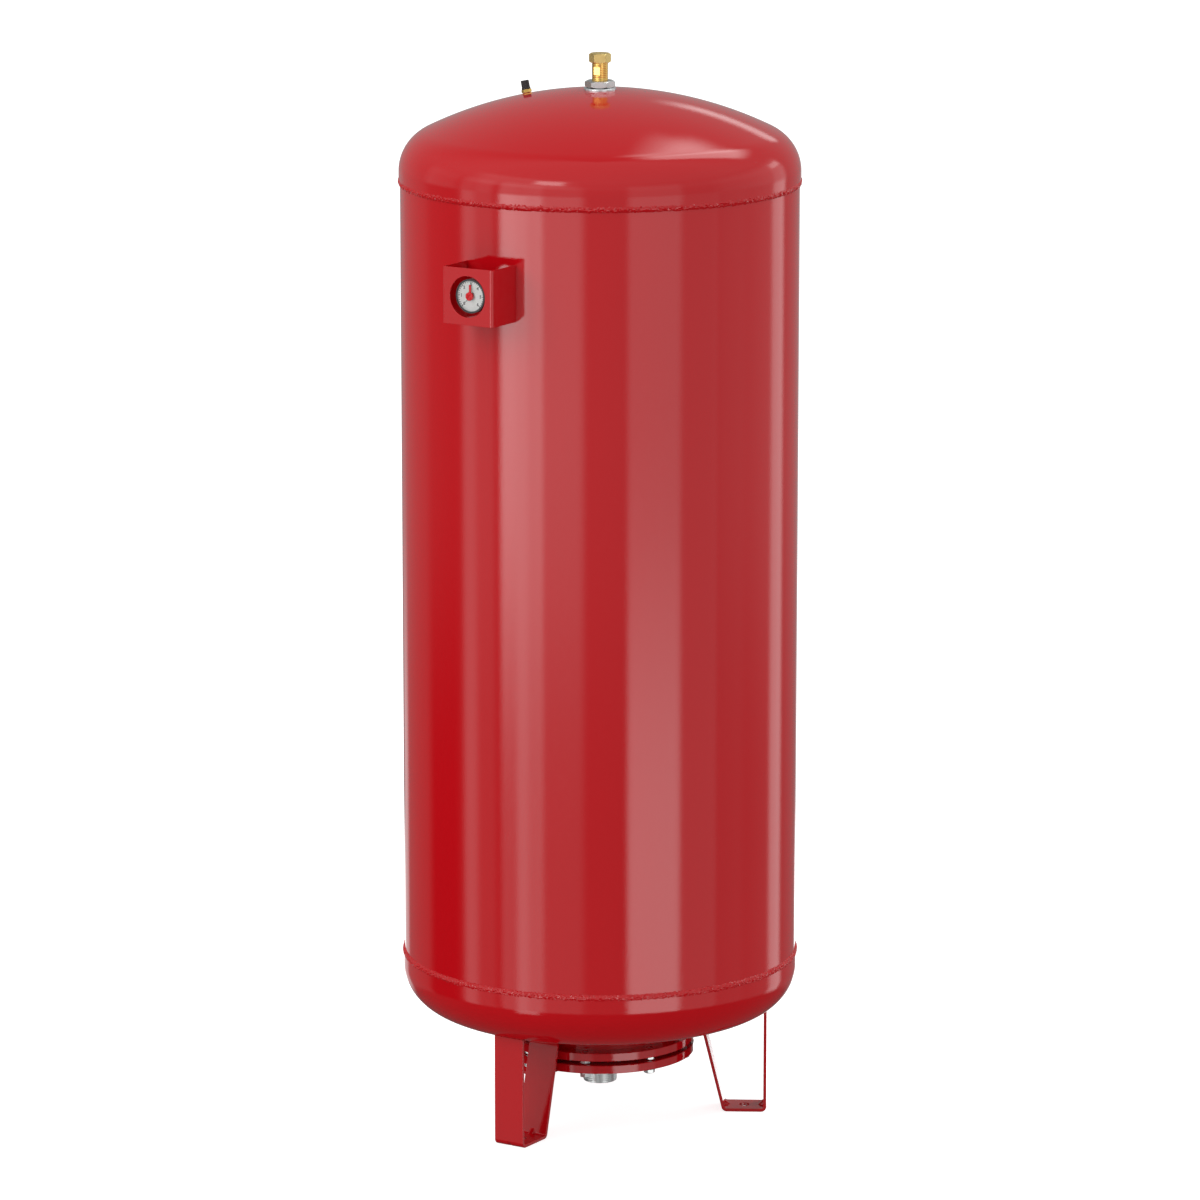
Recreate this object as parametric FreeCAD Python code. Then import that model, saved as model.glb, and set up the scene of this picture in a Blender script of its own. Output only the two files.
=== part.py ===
import FreeCAD, Part
import math
import os
from FreeCAD import Vector

# Floor-standing expansion tank: a welded steel vessel on three folded feet,
# with a replaceable rubber bladder held between the bottom flanges and the top vent.
# Millimetres. Z is up, the origin is on the vessel's axis at floor level, the front
# with the pressure gauge faces -Y, and an azimuth turns from the front towards +X.

# Shell: rolled barrel with two dished heads lapped over its ends
shell_od = 750.0
barrel_wall = 3.0
head_wall = 2.5
floor_to_lower_weld = 317.5
weld_to_weld = 1487.5
lap_length = 15.0
lap_gap = 0.1
top_crown_r = 753.0
top_knuckle_r = 84.0
top_skirt = 18.0
bottom_crown_r = 1200.0
bottom_knuckle_r = 85.0
bottom_skirt = 24.5

# Weld beads: how far they stand out and how far they reach to each side
bead_reach_barrel = 6.0
bead_reach_head = 4.5
bead_proud = 2.0
seam_bead_width = 9.0
seam_bead_proud = 1.2
seam_azimuth = 180.0

# Bottom neck and the two flange plates
neck_od = 304.0
neck_wall = 10.0
neck_inside_head = 6.0
flange_od = 362.0
flange_thickness = 16.0
flange_top_z = 155.7
flange_gap = 8.0
ring_bore = 236.0
flange_edge_chamfer = 1.0
bolt_circle = 328.0
bolt_count = 8
bolt_first_azimuth = 22.5
bolt_d = 12.0
bolt_tap_gap = 0.05
cover_hole_d = 14.0
bolt_head_af = 19.0
bolt_head_height = 7.5
bolt_hex_turn = -20.0
bolt_end_below_ring = 2.0
washer_od = 24.0
washer_bore = 13.0
washer_thickness = 2.5
flange_nut_height = 7.0

# Water connection in the middle of the cover
nozzle_thread_d = 65.0
nozzle_thread_length = 54.0
nozzle_chamfer = 2.0
nozzle_root_d = 62.0
nozzle_root_length = 6.0
nozzle_bore = 55.0
weld_fit_gap = 0.1

# Bladder: a butyl bag whose mouth collar is clamped between the flange plates
collar_od = 300.0
bladder_neck_gap = 1.5
bladder_wall = 3.0
bladder_neck_wall = 4.0
bladder_side_gap = 37.0
bladder_crown_r = 690.0
bladder_knuckle_r = 90.0
bladder_over_neck = 23.0
bladder_eye_thickness = 4.0

# Top vent: brass stem through the head, held by a nut, closed by a hexagon cap
stem_d = 30.4
stem_bore = 10.0
stem_hole_gap = 0.3
stem_flange_d = 60.0
stem_flange_thickness = 6.0
clamp_washer_d = 70.0
clamp_washer_thickness = 4.0
vent_washer_d = 60.5
vent_washer_rim = 4.5
vent_washer_round = 2.0
vent_nut_af = 50.0
vent_nut_height = 13.5
vent_nut_azimuth = 28.0
stem_above_nut = 45.5
stem_flat_af = 27.0
stem_flat_height = 15.4
stem_flat_above_nut = 10.4
stem_flat_azimuth = 6.2
vent_cap_af = 36.0
vent_cap_height = 18.0
vent_cap_above_nut = 33.0
vent_cap_azimuth = 31.0
vent_thread_gap = 0.05
gasket_thickness = 1.6

# Gas charging valve on the top head, square to its surface
valve_azimuth = -90.0
valve_radius = 163.0
boss_proud = 0.5
boss_length = 7.5
boss_d = 15.0
valve_shank_d = 10.2
valve_shank_length = 6.0
valve_hex_af = 17.0
valve_hex_height = 6.6
valve_tube_d = 10.0
valve_tube_height = 12.0
valve_bore = 4.8
valve_guide_below_hex_top = 2.5
valve_guide_height = 2.0
valve_cap_d = 15.5
valve_cap_height = 17.0
valve_cap_collar_d = 16.9
valve_cap_collar_height = 2.6
valve_cap_edge = 1.0
valve_cap_top_wall = 3.4
pin_d = 1.9
pin_fit_gap = 0.05
pin_below_rim = 1.0
pin_seat_d = 4.0
pin_seat_gap = 0.05
pin_seat_height = 2.0
pin_collar_d = 3.4
pin_collar_height = 1.0
pin_collar_below_rim = 3.0
spring_wire_d = 0.4
spring_turns = 5.0
spring_mid_d = 3.0

# Feet: three strips folded to a closed loop under the bottom head
foot_count = 3
foot_names = ["foot_front", "foot_right", "foot_left"]
foot_width = 63.0
foot_thickness = 6.0
foot_inset = 53.0
foot_flange_gap = 15.0
foot_inner_lean = 15.0
foot_bend_r = 7.5
foot_tab_bend_r = 13.0
foot_tab_length = 48.0
foot_tab_corner_r = 12.0
anchor_hole_d = 20.0
anchor_from_outside = 43.0
rib_reach = 10.5
rib_radius = 6.0
dent_reach = 9.5
dent_radius = 3.0

# Gauge guard: one sheet folded to a U, welded to the barrel, with a round window
guard_centre_z = 1644.0
guard_height = 105.2
guard_width = 108.8
guard_stand_off = 76.0
guard_sheet = 2.5
guard_bend_r = 3.75
guard_window_d = 76.4

# Pressure gauge behind the window
gauge_od = 63.0
gauge_behind_guard = 9.5
gauge_depth = 27.0
gauge_case_wall = 1.5
gauge_window_d = 56.4
gauge_lip_thickness = 0.5
glass_thickness = 1.0
dial_behind_glass = 1.6
dial_thickness = 0.8
socket_d = 24.0
socket_length = 16.0
gauge_thread_d = 13.0
gauge_thread_length = 11.0
gauge_square_af = 14.0
gauge_square_length = 9.0
gauge_stem_d = 11.0
gauge_bore = 3.0
arbor_d = 1.5
arbor_fit_gap = 0.05
pointer_tip = 21.0
pointer_tail = 8.0
pointer_width = 2.2
pointer_thickness = 0.3
pointer_hub_d = 5.0
pointer_hub_height = 0.5
arbor_end_gap = 0.3
pointer_dial_gap = 0.3
zero_angle = 225.0
movement_d = 18.0
movement_plate = 1.5
movement_span = 5.0
movement_behind_dial = 1.0
pillar_d = 2.4
bourdon_mid_r = 20.5
bourdon_across = 3.4
bourdon_along = 8.0
bourdon_wall = 0.5
bourdon_arc = 250.0
bourdon_slot_gap = 0.1
stem_arm_behind = 1.0
stem_arm_lap = 2.0

# Red set marker turned by hand on the outside of the glass
knob_d = 15.5
knob_height = 4.8
knob_slot_width = 2.0
knob_slot_depth = 1.8
knob_edge_r = 1.2
marker_axle_d = 4.0
marker_fit_gap = 0.05
marker_glass_gap = 0.3
marker_arm_reach = 21.0
marker_arm_width = 4.2
marker_arm_thickness = 1.0
marker_clip_d = 5.4
marker_clip_gap = 0.1
marker_clip_height = 0.4

# Values worked out from the sizes above
shell_r = shell_od / 2
head_r = shell_r + lap_gap + head_wall
lower_weld_z = floor_to_lower_weld
upper_weld_z = lower_weld_z + weld_to_weld
ring_bottom_z = flange_top_z - flange_thickness
cover_top_z = ring_bottom_z - flange_gap
cover_bottom_z = cover_top_z - flange_thickness
bolt_seat_z = cover_bottom_z - washer_thickness
bladder_r = shell_r - barrel_wall - bladder_side_gap
foot_outer_r = shell_r - foot_inset
foot_lean_slope = math.tan(math.radians(foot_inner_lean))
foot_base_inner_r = flange_od / 2 + foot_flange_gap + flange_top_z * foot_lean_slope
anchor_circle_r = foot_outer_r - anchor_from_outside
UP = Vector(0, 0, 1)
ORIGIN = Vector(0, 0, 0)


def crown_centre(out_r, crown_r, knuckle_r, skirt):
    """Height of the crown's centre over the skirt's edge, and the half angle of the crown."""
    half_angle = math.asin((out_r - knuckle_r) / (crown_r - knuckle_r))
    return skirt - (crown_r - knuckle_r) * math.cos(half_angle), half_angle


def dish_height(out_r, crown_r, knuckle_r, skirt, radius=0.0):
    """Height of the dished surface over the skirt's edge at a radius on its crown."""
    centre, _ = crown_centre(out_r, crown_r, knuckle_r, skirt)
    return centre + math.sqrt(crown_r ** 2 - radius ** 2)


def dish(out_r, crown_r, knuckle_r, skirt):
    """Filled dished head, its skirt's edge at z = 0 and its dome upwards."""
    centre_z, half = crown_centre(out_r, crown_r, knuckle_r, skirt)
    crown_mid = Vector(crown_r * math.sin(half / 2), 0, centre_z + crown_r * math.cos(half / 2))
    meet = Vector(crown_r * math.sin(half), 0, centre_z + crown_r * math.cos(half))
    knuckle_x = out_r - knuckle_r
    turn = (half + math.pi / 2) / 2
    knuckle_mid = Vector(knuckle_x + knuckle_r * math.sin(turn), 0, skirt + knuckle_r * math.cos(turn))
    apex = Vector(0, 0, centre_z + crown_r)
    shoulder = Vector(out_r, 0, skirt)
    edges = [
        Part.makeLine(ORIGIN, apex),
        Part.Arc(apex, crown_mid, meet).toShape(),
        Part.Arc(meet, knuckle_mid, shoulder).toShape(),
    ]
    if skirt > 0:
        edges.append(Part.makeLine(shoulder, Vector(out_r, 0, 0)))
    edges.append(Part.makeLine(Vector(out_r, 0, 0), ORIGIN))
    return Part.Face(Part.Wire(edges)).revolve(ORIGIN, UP, 360)


def top_dish():
    """The space inside the top head's outer surface, in its place."""
    solid = dish(head_r, top_crown_r, top_knuckle_r, top_skirt)
    solid.translate(Vector(0, 0, upper_weld_z))
    return solid


def bottom_dish():
    """The space inside the bottom head's outer surface, in its place."""
    solid = dish(head_r, bottom_crown_r, bottom_knuckle_r, bottom_skirt)
    solid = solid.mirror(ORIGIN, UP)
    solid.translate(Vector(0, 0, lower_weld_z))
    return solid


def top_surface_z(radius):
    """Height of the top head's outer surface at a radius on its crown."""
    return upper_weld_z + dish_height(head_r, top_crown_r, top_knuckle_r, top_skirt, radius)


def bottom_surface_z(radius):
    """Height of the bottom head's outer surface at a radius on its crown."""
    return lower_weld_z - dish_height(head_r, bottom_crown_r, bottom_knuckle_r, bottom_skirt, radius)


def rod(diameter, z_low, z_high):
    """Upright round bar on the Z axis."""
    return Part.makeCylinder(diameter / 2, z_high - z_low, Vector(0, 0, z_low))


def tube(outer_d, inner_d, z_low, z_high):
    """Upright tube on the Z axis."""
    return rod(outer_d, z_low, z_high).cut(rod(inner_d, z_low, z_high))


def turned(points):
    """Solid of revolution about Z from (radius, height) corners."""
    corners = [Vector(radius, 0, height) for radius, height in points]
    return Part.Face(Part.makePolygon(corners + corners[:1])).revolve(ORIGIN, UP, 360)


def hexagon(across_flats, z_low, z_high, facet_azimuth=0.0):
    """Hexagonal bar on the Z axis with the middle of one facet at an azimuth."""
    corner_r = across_flats / 2 / math.cos(math.pi / 6)
    corners = []
    for index in range(6):
        angle = math.radians(facet_azimuth + 30 + 60 * index)
        corners.append(Vector(corner_r * math.sin(angle), -corner_r * math.cos(angle), z_low))
    return Part.Face(Part.makePolygon(corners + corners[:1])).extrude(Vector(0, 0, z_high - z_low))


def chamfered_hexagon(across_flats, z_low, z_high, facet_azimuth, top=True, bottom=True):
    """Hexagonal bar whose corners are turned off at 30 degrees at one or both ends."""
    corner_r = across_flats / 2 / math.cos(math.pi / 6)
    drop = (corner_r - across_flats / 2 * 0.95) * math.tan(math.radians(30))
    flat_r = across_flats / 2 * 0.95
    envelope = [(0, z_low), (flat_r if bottom else corner_r + 1, z_low)]
    envelope.append((corner_r if bottom else corner_r + 1, z_low + drop))
    envelope.append((corner_r if top else corner_r + 1, z_high - drop))
    envelope.append((flat_r if top else corner_r + 1, z_high))
    envelope.append((0, z_high))
    return hexagon(across_flats, z_low, z_high, facet_azimuth).common(turned(envelope))


def at_azimuth(shape, azimuth, radius=0.0):
    """Copy of a shape moved out from the axis and turned to an azimuth."""
    placed = shape.copy()
    placed.translate(Vector(0, -radius, 0))
    placed.rotate(ORIGIN, UP, azimuth)
    return placed


def round_the_circle(shape, radius, count, first_azimuth):
    """Compound of equal copies of a shape, evenly spaced on a circle."""
    step = 360.0 / count
    return Part.makeCompound([at_azimuth(shape, first_azimuth + step * k, radius) for k in range(count)])


def folded_face(points, bend_radii, thickness):
    """Face of a folded strip's edge, from the corners and bend radii of its middle line."""
    sides = {1: [], -1: []}
    directions = [(b - a).normalize() for a, b in zip(points, points[1:])]
    normals = [Vector(-d.y, d.x, 0) for d in directions]
    half = thickness / 2
    starts = {side: points[0] + normals[0] * (side * half) for side in sides}
    for index, radius in enumerate(bend_radii):
        before, after = directions[index], directions[index + 1]
        corner = points[index + 1]
        turn = math.atan2(before.cross(after).z, before.dot(after))
        hand = 1 if turn > 0 else -1
        reach = radius * math.tan(abs(turn) / 2)
        bend_start = corner - before * reach
        bend_end = corner + after * reach
        centre = bend_start + normals[index] * (hand * radius)
        outward = (corner - centre).normalize()
        for side in sides:
            first = bend_start + normals[index] * (side * half)
            last = bend_end + normals[index + 1] * (side * half)
            middle = centre + outward * (radius - side * hand * half)
            sides[side].append(Part.makeLine(starts[side], first))
            sides[side].append(Part.Arc(first, middle, last).toShape())
            starts[side] = last
    ends = {side: points[-1] + normals[-1] * (side * half) for side in sides}
    for side in sides:
        sides[side].append(Part.makeLine(starts[side], ends[side]))
    caps = [
        Part.makeLine(ends[1], ends[-1]),
        Part.makeLine(points[0] + normals[0] * half, points[0] - normals[0] * half),
    ]
    edges = Part.__sortEdges__(sides[1] + sides[-1] + caps)
    return Part.Face(Part.Wire(edges))


def shell_barrel():
    """Rolled barrel whose ends reach under both heads, with the gauge's tapping."""
    low = lower_weld_z - lap_length
    high = upper_weld_z + lap_length
    solid = tube(shell_od, shell_od - 2 * barrel_wall, low, high)
    tapping = Part.makeCylinder(
        gauge_bore, 2 * barrel_wall + shell_r, Vector(0, 0, guard_centre_z), Vector(0, -1, 0)
    )
    return solid.cut(tapping)


def head_shell(crown_r, knuckle_r, skirt):
    """Dished head of even wall with its skirt's edge at z = 0 and its dome upwards."""
    outside = dish(head_r, crown_r, knuckle_r, skirt)
    inside = dish(head_r - head_wall, crown_r - head_wall, knuckle_r - head_wall, skirt)
    return outside.cut(inside)


def top_head():
    """Top head with the holes for the vent stem and the gas valve."""
    solid = head_shell(top_crown_r, top_knuckle_r, top_skirt)
    solid.translate(Vector(0, 0, upper_weld_z))
    solid = solid.cut(rod(stem_d + 2 * stem_hole_gap, upper_weld_z, upper_weld_z + top_crown_r))
    gas_way = on_top_head(rod(boss_d + 2 * weld_fit_gap, -4 * head_wall, 4 * head_wall))
    return solid.cut(gas_way)


def bottom_head():
    """Bottom head with the round opening that the neck stands in."""
    solid = head_shell(bottom_crown_r, bottom_knuckle_r, bottom_skirt).mirror(ORIGIN, UP)
    solid.translate(Vector(0, 0, lower_weld_z))
    return solid.cut(rod(neck_od + 2 * weld_fit_gap, 0, lower_weld_z))


def girth_bead():
    """Weld bead round a head's edge at z = 0, with the head above and the barrel below."""
    barrel_toe = Vector(shell_r, 0, -bead_reach_barrel)
    head_toe = Vector(head_r, 0, bead_reach_head)
    crest = Vector(head_r + bead_proud, 0, (bead_reach_head - bead_reach_barrel) / 3)
    edges = [
        Part.Arc(barrel_toe, crest, head_toe).toShape(),
        Part.makeLine(head_toe, Vector(head_r, 0, 0)),
        Part.makeLine(Vector(head_r, 0, 0), Vector(shell_r, 0, 0)),
        Part.makeLine(Vector(shell_r, 0, 0), barrel_toe),
    ]
    return Part.Face(Part.Wire(edges)).revolve(ORIGIN, UP, 360)


def upper_girth_weld():
    """Weld that joins the top head's edge to the barrel."""
    bead = girth_bead()
    bead.translate(Vector(0, 0, upper_weld_z))
    return bead


def lower_girth_weld():
    """Weld that joins the bottom head's edge to the barrel."""
    bead = girth_bead().mirror(ORIGIN, UP)
    bead.translate(Vector(0, 0, lower_weld_z))
    return bead


def barrel_seam_weld():
    """Straight bead along the barrel's rolled joint, at the back."""
    half = seam_bead_width / 2
    side_y = -math.sqrt(shell_r ** 2 - half ** 2)
    left = Vector(-half, side_y, 0)
    right = Vector(half, side_y, 0)
    edges = [
        Part.Arc(left, Vector(0, -shell_r - seam_bead_proud, 0), right).toShape(),
        Part.Arc(right, Vector(0, -shell_r, 0), left).toShape(),
    ]
    low = lower_weld_z + bead_reach_barrel
    high = upper_weld_z - bead_reach_barrel
    bead = Part.Face(Part.Wire(edges)).extrude(Vector(0, 0, high - low))
    bead.translate(Vector(0, 0, low))
    return at_azimuth(bead, seam_azimuth)


def neck_ring():
    """Short pipe from the flange ring up through the bottom head's opening."""
    return tube(neck_od, neck_od - 2 * neck_wall, flange_top_z, neck_top_z())


def edged_plate(diameter, z_low, z_high):
    """Round plate with small chamfers on both rims."""
    radius = diameter / 2
    cut = flange_edge_chamfer
    return turned([
        (0, z_low), (radius - cut, z_low), (radius, z_low + cut),
        (radius, z_high - cut), (radius - cut, z_high), (0, z_high),
    ])


def flange_ring():
    """Upper flange plate, welded to the neck, with tapped bolt holes."""
    plate = edged_plate(flange_od, ring_bottom_z, flange_top_z)
    plate = plate.cut(rod(ring_bore, ring_bottom_z, flange_top_z))
    hole = rod(bolt_d + 2 * bolt_tap_gap, ring_bottom_z, flange_top_z)
    return plate.cut(round_the_circle(hole, bolt_circle / 2, bolt_count, bolt_first_azimuth))


def flange_cover():
    """Lower flange plate that carries the water nozzle."""
    plate = edged_plate(flange_od, cover_bottom_z, cover_top_z)
    plate = plate.cut(rod(nozzle_root_d + 2 * weld_fit_gap, cover_bottom_z, cover_top_z))
    hole = rod(cover_hole_d, cover_bottom_z, cover_top_z)
    return plate.cut(round_the_circle(hole, bolt_circle / 2, bolt_count, bolt_first_azimuth))


def flange_bolts():
    """Hexagon bolts up through the cover and the nuts into the flange ring."""
    head = chamfered_hexagon(
        bolt_head_af, bolt_seat_z - bolt_head_height, bolt_seat_z, bolt_hex_turn, top=False
    )
    shank = rod(bolt_d, bolt_seat_z, flange_top_z - bolt_end_below_ring)
    bolt = head.fuse(shank).removeSplitter()
    return round_the_circle(bolt, bolt_circle / 2, bolt_count, bolt_first_azimuth)


def flange_washers():
    """Plain washers between the bolt heads and the cover."""
    washer = tube(washer_od, washer_bore, bolt_seat_z, cover_bottom_z)
    return round_the_circle(washer, bolt_circle / 2, bolt_count, bolt_first_azimuth)


def flange_nuts():
    """Hexagon nuts welded under the flange ring, in the gap beside the bladder's collar."""
    low = ring_bottom_z - flange_nut_height
    nut = chamfered_hexagon(bolt_head_af, low, ring_bottom_z, bolt_hex_turn, top=False)
    nut = nut.cut(rod(bolt_d + 2 * bolt_tap_gap, low, ring_bottom_z))
    return round_the_circle(nut, bolt_circle / 2, bolt_count, bolt_first_azimuth)


def water_nozzle():
    """Threaded pipe welded into the cover, with chamfered mouth."""
    thread_top = cover_bottom_z - nozzle_root_length
    mouth = thread_top - nozzle_thread_length
    outer, root, inner = nozzle_thread_d / 2, nozzle_root_d / 2, nozzle_bore / 2
    return turned([
        (inner, mouth - nozzle_chamfer), (outer - nozzle_chamfer, mouth - nozzle_chamfer), (outer, mouth),
        (outer, thread_top), (root, thread_top), (root, cover_top_z), (inner, cover_top_z),
    ])


def neck_top_z():
    """Height of the neck's upper end, inside the bottom head."""
    return bottom_surface_z(neck_od / 2) + head_wall + neck_inside_head


def bladder_form(shrink):
    """Filled bladder body, made smaller all round by a wall thickness."""
    body_r = bladder_r - shrink
    crown_r = bladder_crown_r - shrink
    knuckle_r = bladder_knuckle_r - shrink
    rise = dish_height(body_r, crown_r, knuckle_r, 0)
    low_z = neck_top_z() + bladder_over_neck + shrink
    top_z = clamp_washer_z() - shrink
    upper = dish(body_r, crown_r, knuckle_r, 0)
    upper.translate(Vector(0, 0, top_z - rise))
    lower = dish(body_r, crown_r, knuckle_r, 0).mirror(ORIGIN, UP)
    lower.translate(Vector(0, 0, low_z + rise))
    middle = rod(2 * body_r, low_z + rise, top_z - rise)
    return middle.fuse([upper, lower]).removeSplitter()


def bladder():
    """Rubber bag with its mouth collar at the bottom and its eye round the vent stem."""
    neck_d = ring_bore - 2 * bladder_neck_gap
    join_z = neck_top_z() + bladder_over_neck + bladder_knuckle_r
    outside = bladder_form(0).fuse(rod(neck_d, cover_top_z, join_z))
    outside = outside.fuse(rod(collar_od, cover_top_z, ring_bottom_z))
    inside = bladder_form(bladder_wall).fuse(rod(neck_d - 2 * bladder_neck_wall, cover_top_z, join_z))
    eye_bottom = clamp_washer_z() - bladder_eye_thickness
    eye = rod(stem_flange_d + 2 * bladder_wall, eye_bottom, clamp_washer_z())
    bag = outside.cut(inside).fuse(eye.common(bladder_form(0)))
    stem_way = rod(stem_d + 2 * stem_hole_gap, eye_bottom, clamp_washer_z())
    return bag.cut(stem_way).removeSplitter()


def clamp_washer_top():
    """Height at which the clamp washer's rim touches the top head's inside."""
    inner_r, inner_crown_r = head_r - head_wall, top_crown_r - head_wall
    inner_knuckle_r = top_knuckle_r - head_wall
    return upper_weld_z + dish_height(inner_r, inner_crown_r, inner_knuckle_r, top_skirt, clamp_washer_d / 2)


def clamp_washer_z():
    """Height of the clamp washer's underside, which the bladder's eye hangs from."""
    return clamp_washer_top() - clamp_washer_thickness


def bladder_clamp_washer():
    """Steel washer between the bladder's eye and the top head."""
    return tube(clamp_washer_d, stem_d + 2 * stem_hole_gap, clamp_washer_z(), clamp_washer_top())


def nut_bottom_z():
    """Height of the vent nut's seat on its washer."""
    return top_surface_z(vent_washer_d / 2) + vent_washer_rim


def vent_washer():
    """Thick rounded washer that beds on the top head's curve."""
    radius = vent_washer_d / 2
    bottom = top_surface_z(radius)
    top = nut_bottom_z()
    disc = Part.makeCylinder(radius, top - bottom, Vector(0, 0, bottom))
    rims = [edge for edge in disc.Edges if abs(edge.BoundBox.ZMin - top) < 0.01]
    disc = disc.makeFillet(vent_washer_round, rims)
    return disc.cut(top_dish()).cut(rod(stem_d + 2 * stem_hole_gap, bottom, top))


def vent_nut():
    """Hexagon nut that pulls the vent stem up against the top head."""
    low = nut_bottom_z()
    nut = chamfered_hexagon(vent_nut_af, low, low + vent_nut_height, vent_nut_azimuth)
    return nut.cut(rod(stem_d + 2 * vent_thread_gap, low, low + vent_nut_height))


def stem_top_z():
    """Height of the vent stem's end inside the cap."""
    return nut_bottom_z() + vent_nut_height + stem_above_nut


def vent_stem():
    """Brass stem with a clamping flange inside, two spanner flats and a vent bore."""
    flange_top = clamp_washer_z() - bladder_eye_thickness
    low = flange_top - stem_flange_thickness
    nut_top = nut_bottom_z() + vent_nut_height
    solid = rod(stem_d, low, stem_top_z()).fuse(rod(stem_flange_d, low, flange_top))
    solid = solid.cut(rod(stem_bore, low, stem_top_z()))
    slab = Part.makeBox(stem_d, stem_d, stem_flat_height, Vector(-stem_d / 2, 0, nut_top + stem_flat_above_nut))
    for side in (0, 180):
        flat = slab.copy()
        flat.translate(Vector(0, -stem_flat_af / 2 - stem_d, 0))
        solid = solid.cut(at_azimuth(flat, stem_flat_azimuth + side))
    return solid.removeSplitter()


def vent_cap():
    """Brass hexagon cap screwed over the stem's end."""
    low = nut_bottom_z() + vent_nut_height + vent_cap_above_nut
    cap = chamfered_hexagon(vent_cap_af, low, low + vent_cap_height, vent_cap_azimuth)
    recess = rod(stem_d + 2 * vent_thread_gap, low, stem_top_z() + gasket_thickness)
    return cap.cut(recess)


def vent_gasket():
    """Flat rubber disc that seals the stem's end in the cap."""
    return rod(stem_d, stem_top_z(), stem_top_z() + gasket_thickness)


def on_top_head(shape):
    """Copy of a shape set square on the top head where the gas valve stands."""
    tilt = math.degrees(math.asin(valve_radius / top_crown_r))
    placed = shape.copy()
    placed.rotate(ORIGIN, Vector(1, 0, 0), tilt)
    placed.translate(Vector(0, -valve_radius, top_surface_z(valve_radius)))
    placed.rotate(ORIGIN, UP, valve_azimuth)
    return placed


valve_hex_top = boss_proud + valve_hex_height
valve_rim = valve_hex_top + valve_tube_height
valve_guide_high = valve_hex_top - valve_guide_below_hex_top
valve_guide_low = valve_guide_high - valve_guide_height
pin_low = valve_guide_low - pin_seat_gap - pin_seat_height


def gas_valve_boss():
    """Tapped socket set into the top head and welded inside, its face just proud of the head."""
    low = boss_proud - boss_length
    boss = rod(boss_d, low, boss_proud)
    boss = boss.cut(rod(valve_shank_d + 2 * bolt_tap_gap, boss_proud - valve_shank_length, boss_proud))
    return on_top_head(boss.cut(rod(valve_bore, low, boss_proud)))


def gas_valve_body():
    """Brass valve body with hexagon, threaded tube and the pin's guide."""
    solid = rod(valve_shank_d, boss_proud - valve_shank_length, boss_proud)
    solid = solid.fuse(chamfered_hexagon(valve_hex_af, boss_proud, valve_hex_top, 0))
    solid = solid.fuse(rod(valve_tube_d, valve_hex_top, valve_rim))
    solid = solid.cut(rod(valve_bore, valve_guide_high, valve_rim))
    solid = solid.cut(rod(valve_bore, boss_proud - valve_shank_length, valve_guide_low))
    solid = solid.cut(rod(pin_d + 2 * pin_fit_gap, valve_guide_low, valve_guide_high))
    return on_top_head(solid.removeSplitter())


def gas_valve_pin():
    """Valve core pin: seat disc below the guide, collar for the spring above it."""
    solid = rod(pin_d, pin_low, valve_rim - pin_below_rim)
    solid = solid.fuse(rod(pin_seat_d, pin_low, pin_low + pin_seat_height))
    collar_high = valve_rim - pin_collar_below_rim
    solid = solid.fuse(rod(pin_collar_d, collar_high - pin_collar_height, collar_high))
    return on_top_head(solid.removeSplitter())


def gas_valve_spring():
    """Coil spring between the guide and the pin's collar."""
    low = valve_guide_high + spring_wire_d / 2
    high = valve_rim - pin_collar_below_rim - pin_collar_height - spring_wire_d / 2
    radius = spring_mid_d / 2
    steps = round(4 * spring_turns)
    rise = (high - low) / steps
    path = []
    for i in range(steps):
        quarter = Part.makeHelix(4 * rise, rise, radius)
        quarter.rotate(Vector(0, 0, 0), Vector(0, 0, 1), 90 * i)
        quarter.translate(Vector(0, 0, low + i * rise))
        path += quarter.Edges
    section = Part.Wire(Part.makeCircle(spring_wire_d / 2, Vector(radius, 0, low), Vector(0, 1, 0)))
    coil = Part.Wire(path).makePipeShell([section], True, True)
    return on_top_head(coil)


def gas_valve_cap():
    """Black plastic dust cap with a collar at its foot."""
    top = valve_hex_top + valve_cap_height
    edge = valve_cap_edge
    radius, collar_r = valve_cap_d / 2, valve_cap_collar_d / 2
    collar_top = valve_hex_top + valve_cap_collar_height
    cap = turned([
        (0, valve_hex_top), (collar_r, valve_hex_top), (collar_r, collar_top),
        (radius, collar_top + edge), (radius, top - edge), (radius - edge, top), (0, top),
    ])
    recess = rod(valve_tube_d + 2 * vent_thread_gap, valve_hex_top, top - valve_cap_top_wall)
    return on_top_head(cap.cut(recess))


def foot_middle_line():
    """Corners of a foot's middle line, as distance from the axis and height."""
    half = foot_thickness / 2
    offset = half / math.cos(math.radians(foot_inner_lean))
    base_inner = foot_base_inner_r + offset - half * foot_lean_slope
    tab_start_r = foot_base_inner_r + offset - bottom_surface_z(0) * foot_lean_slope
    tab_start_z = bottom_surface_z(tab_start_r) - half
    tab_end_r = tab_start_r + foot_tab_length
    tab_end_z = bottom_surface_z(tab_end_r) - half
    return [
        Vector(foot_outer_r - half, lower_weld_z - bottom_skirt, 0),
        Vector(foot_outer_r - half, half, 0),
        Vector(base_inner, half, 0),
        Vector(tab_start_r, tab_start_z, 0),
        Vector(tab_end_r, tab_end_z, 0),
    ]


def bar_across(corner, lean, sign, reach, radius):
    """Round bar over a fold's corner, its crest at one reach along the base and up the leg."""
    turn = math.radians(lean)
    along_base = Vector(0, sign, 0)
    up_leg = Vector(0, math.sin(turn), math.cos(turn))
    outward = (along_base + up_leg).normalize() * -radius
    start = corner + along_base * reach + outward
    direction = (up_leg - along_base) * reach
    return Part.makeCylinder(radius, 3 * direction.Length, start - direction, direction)


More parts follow.
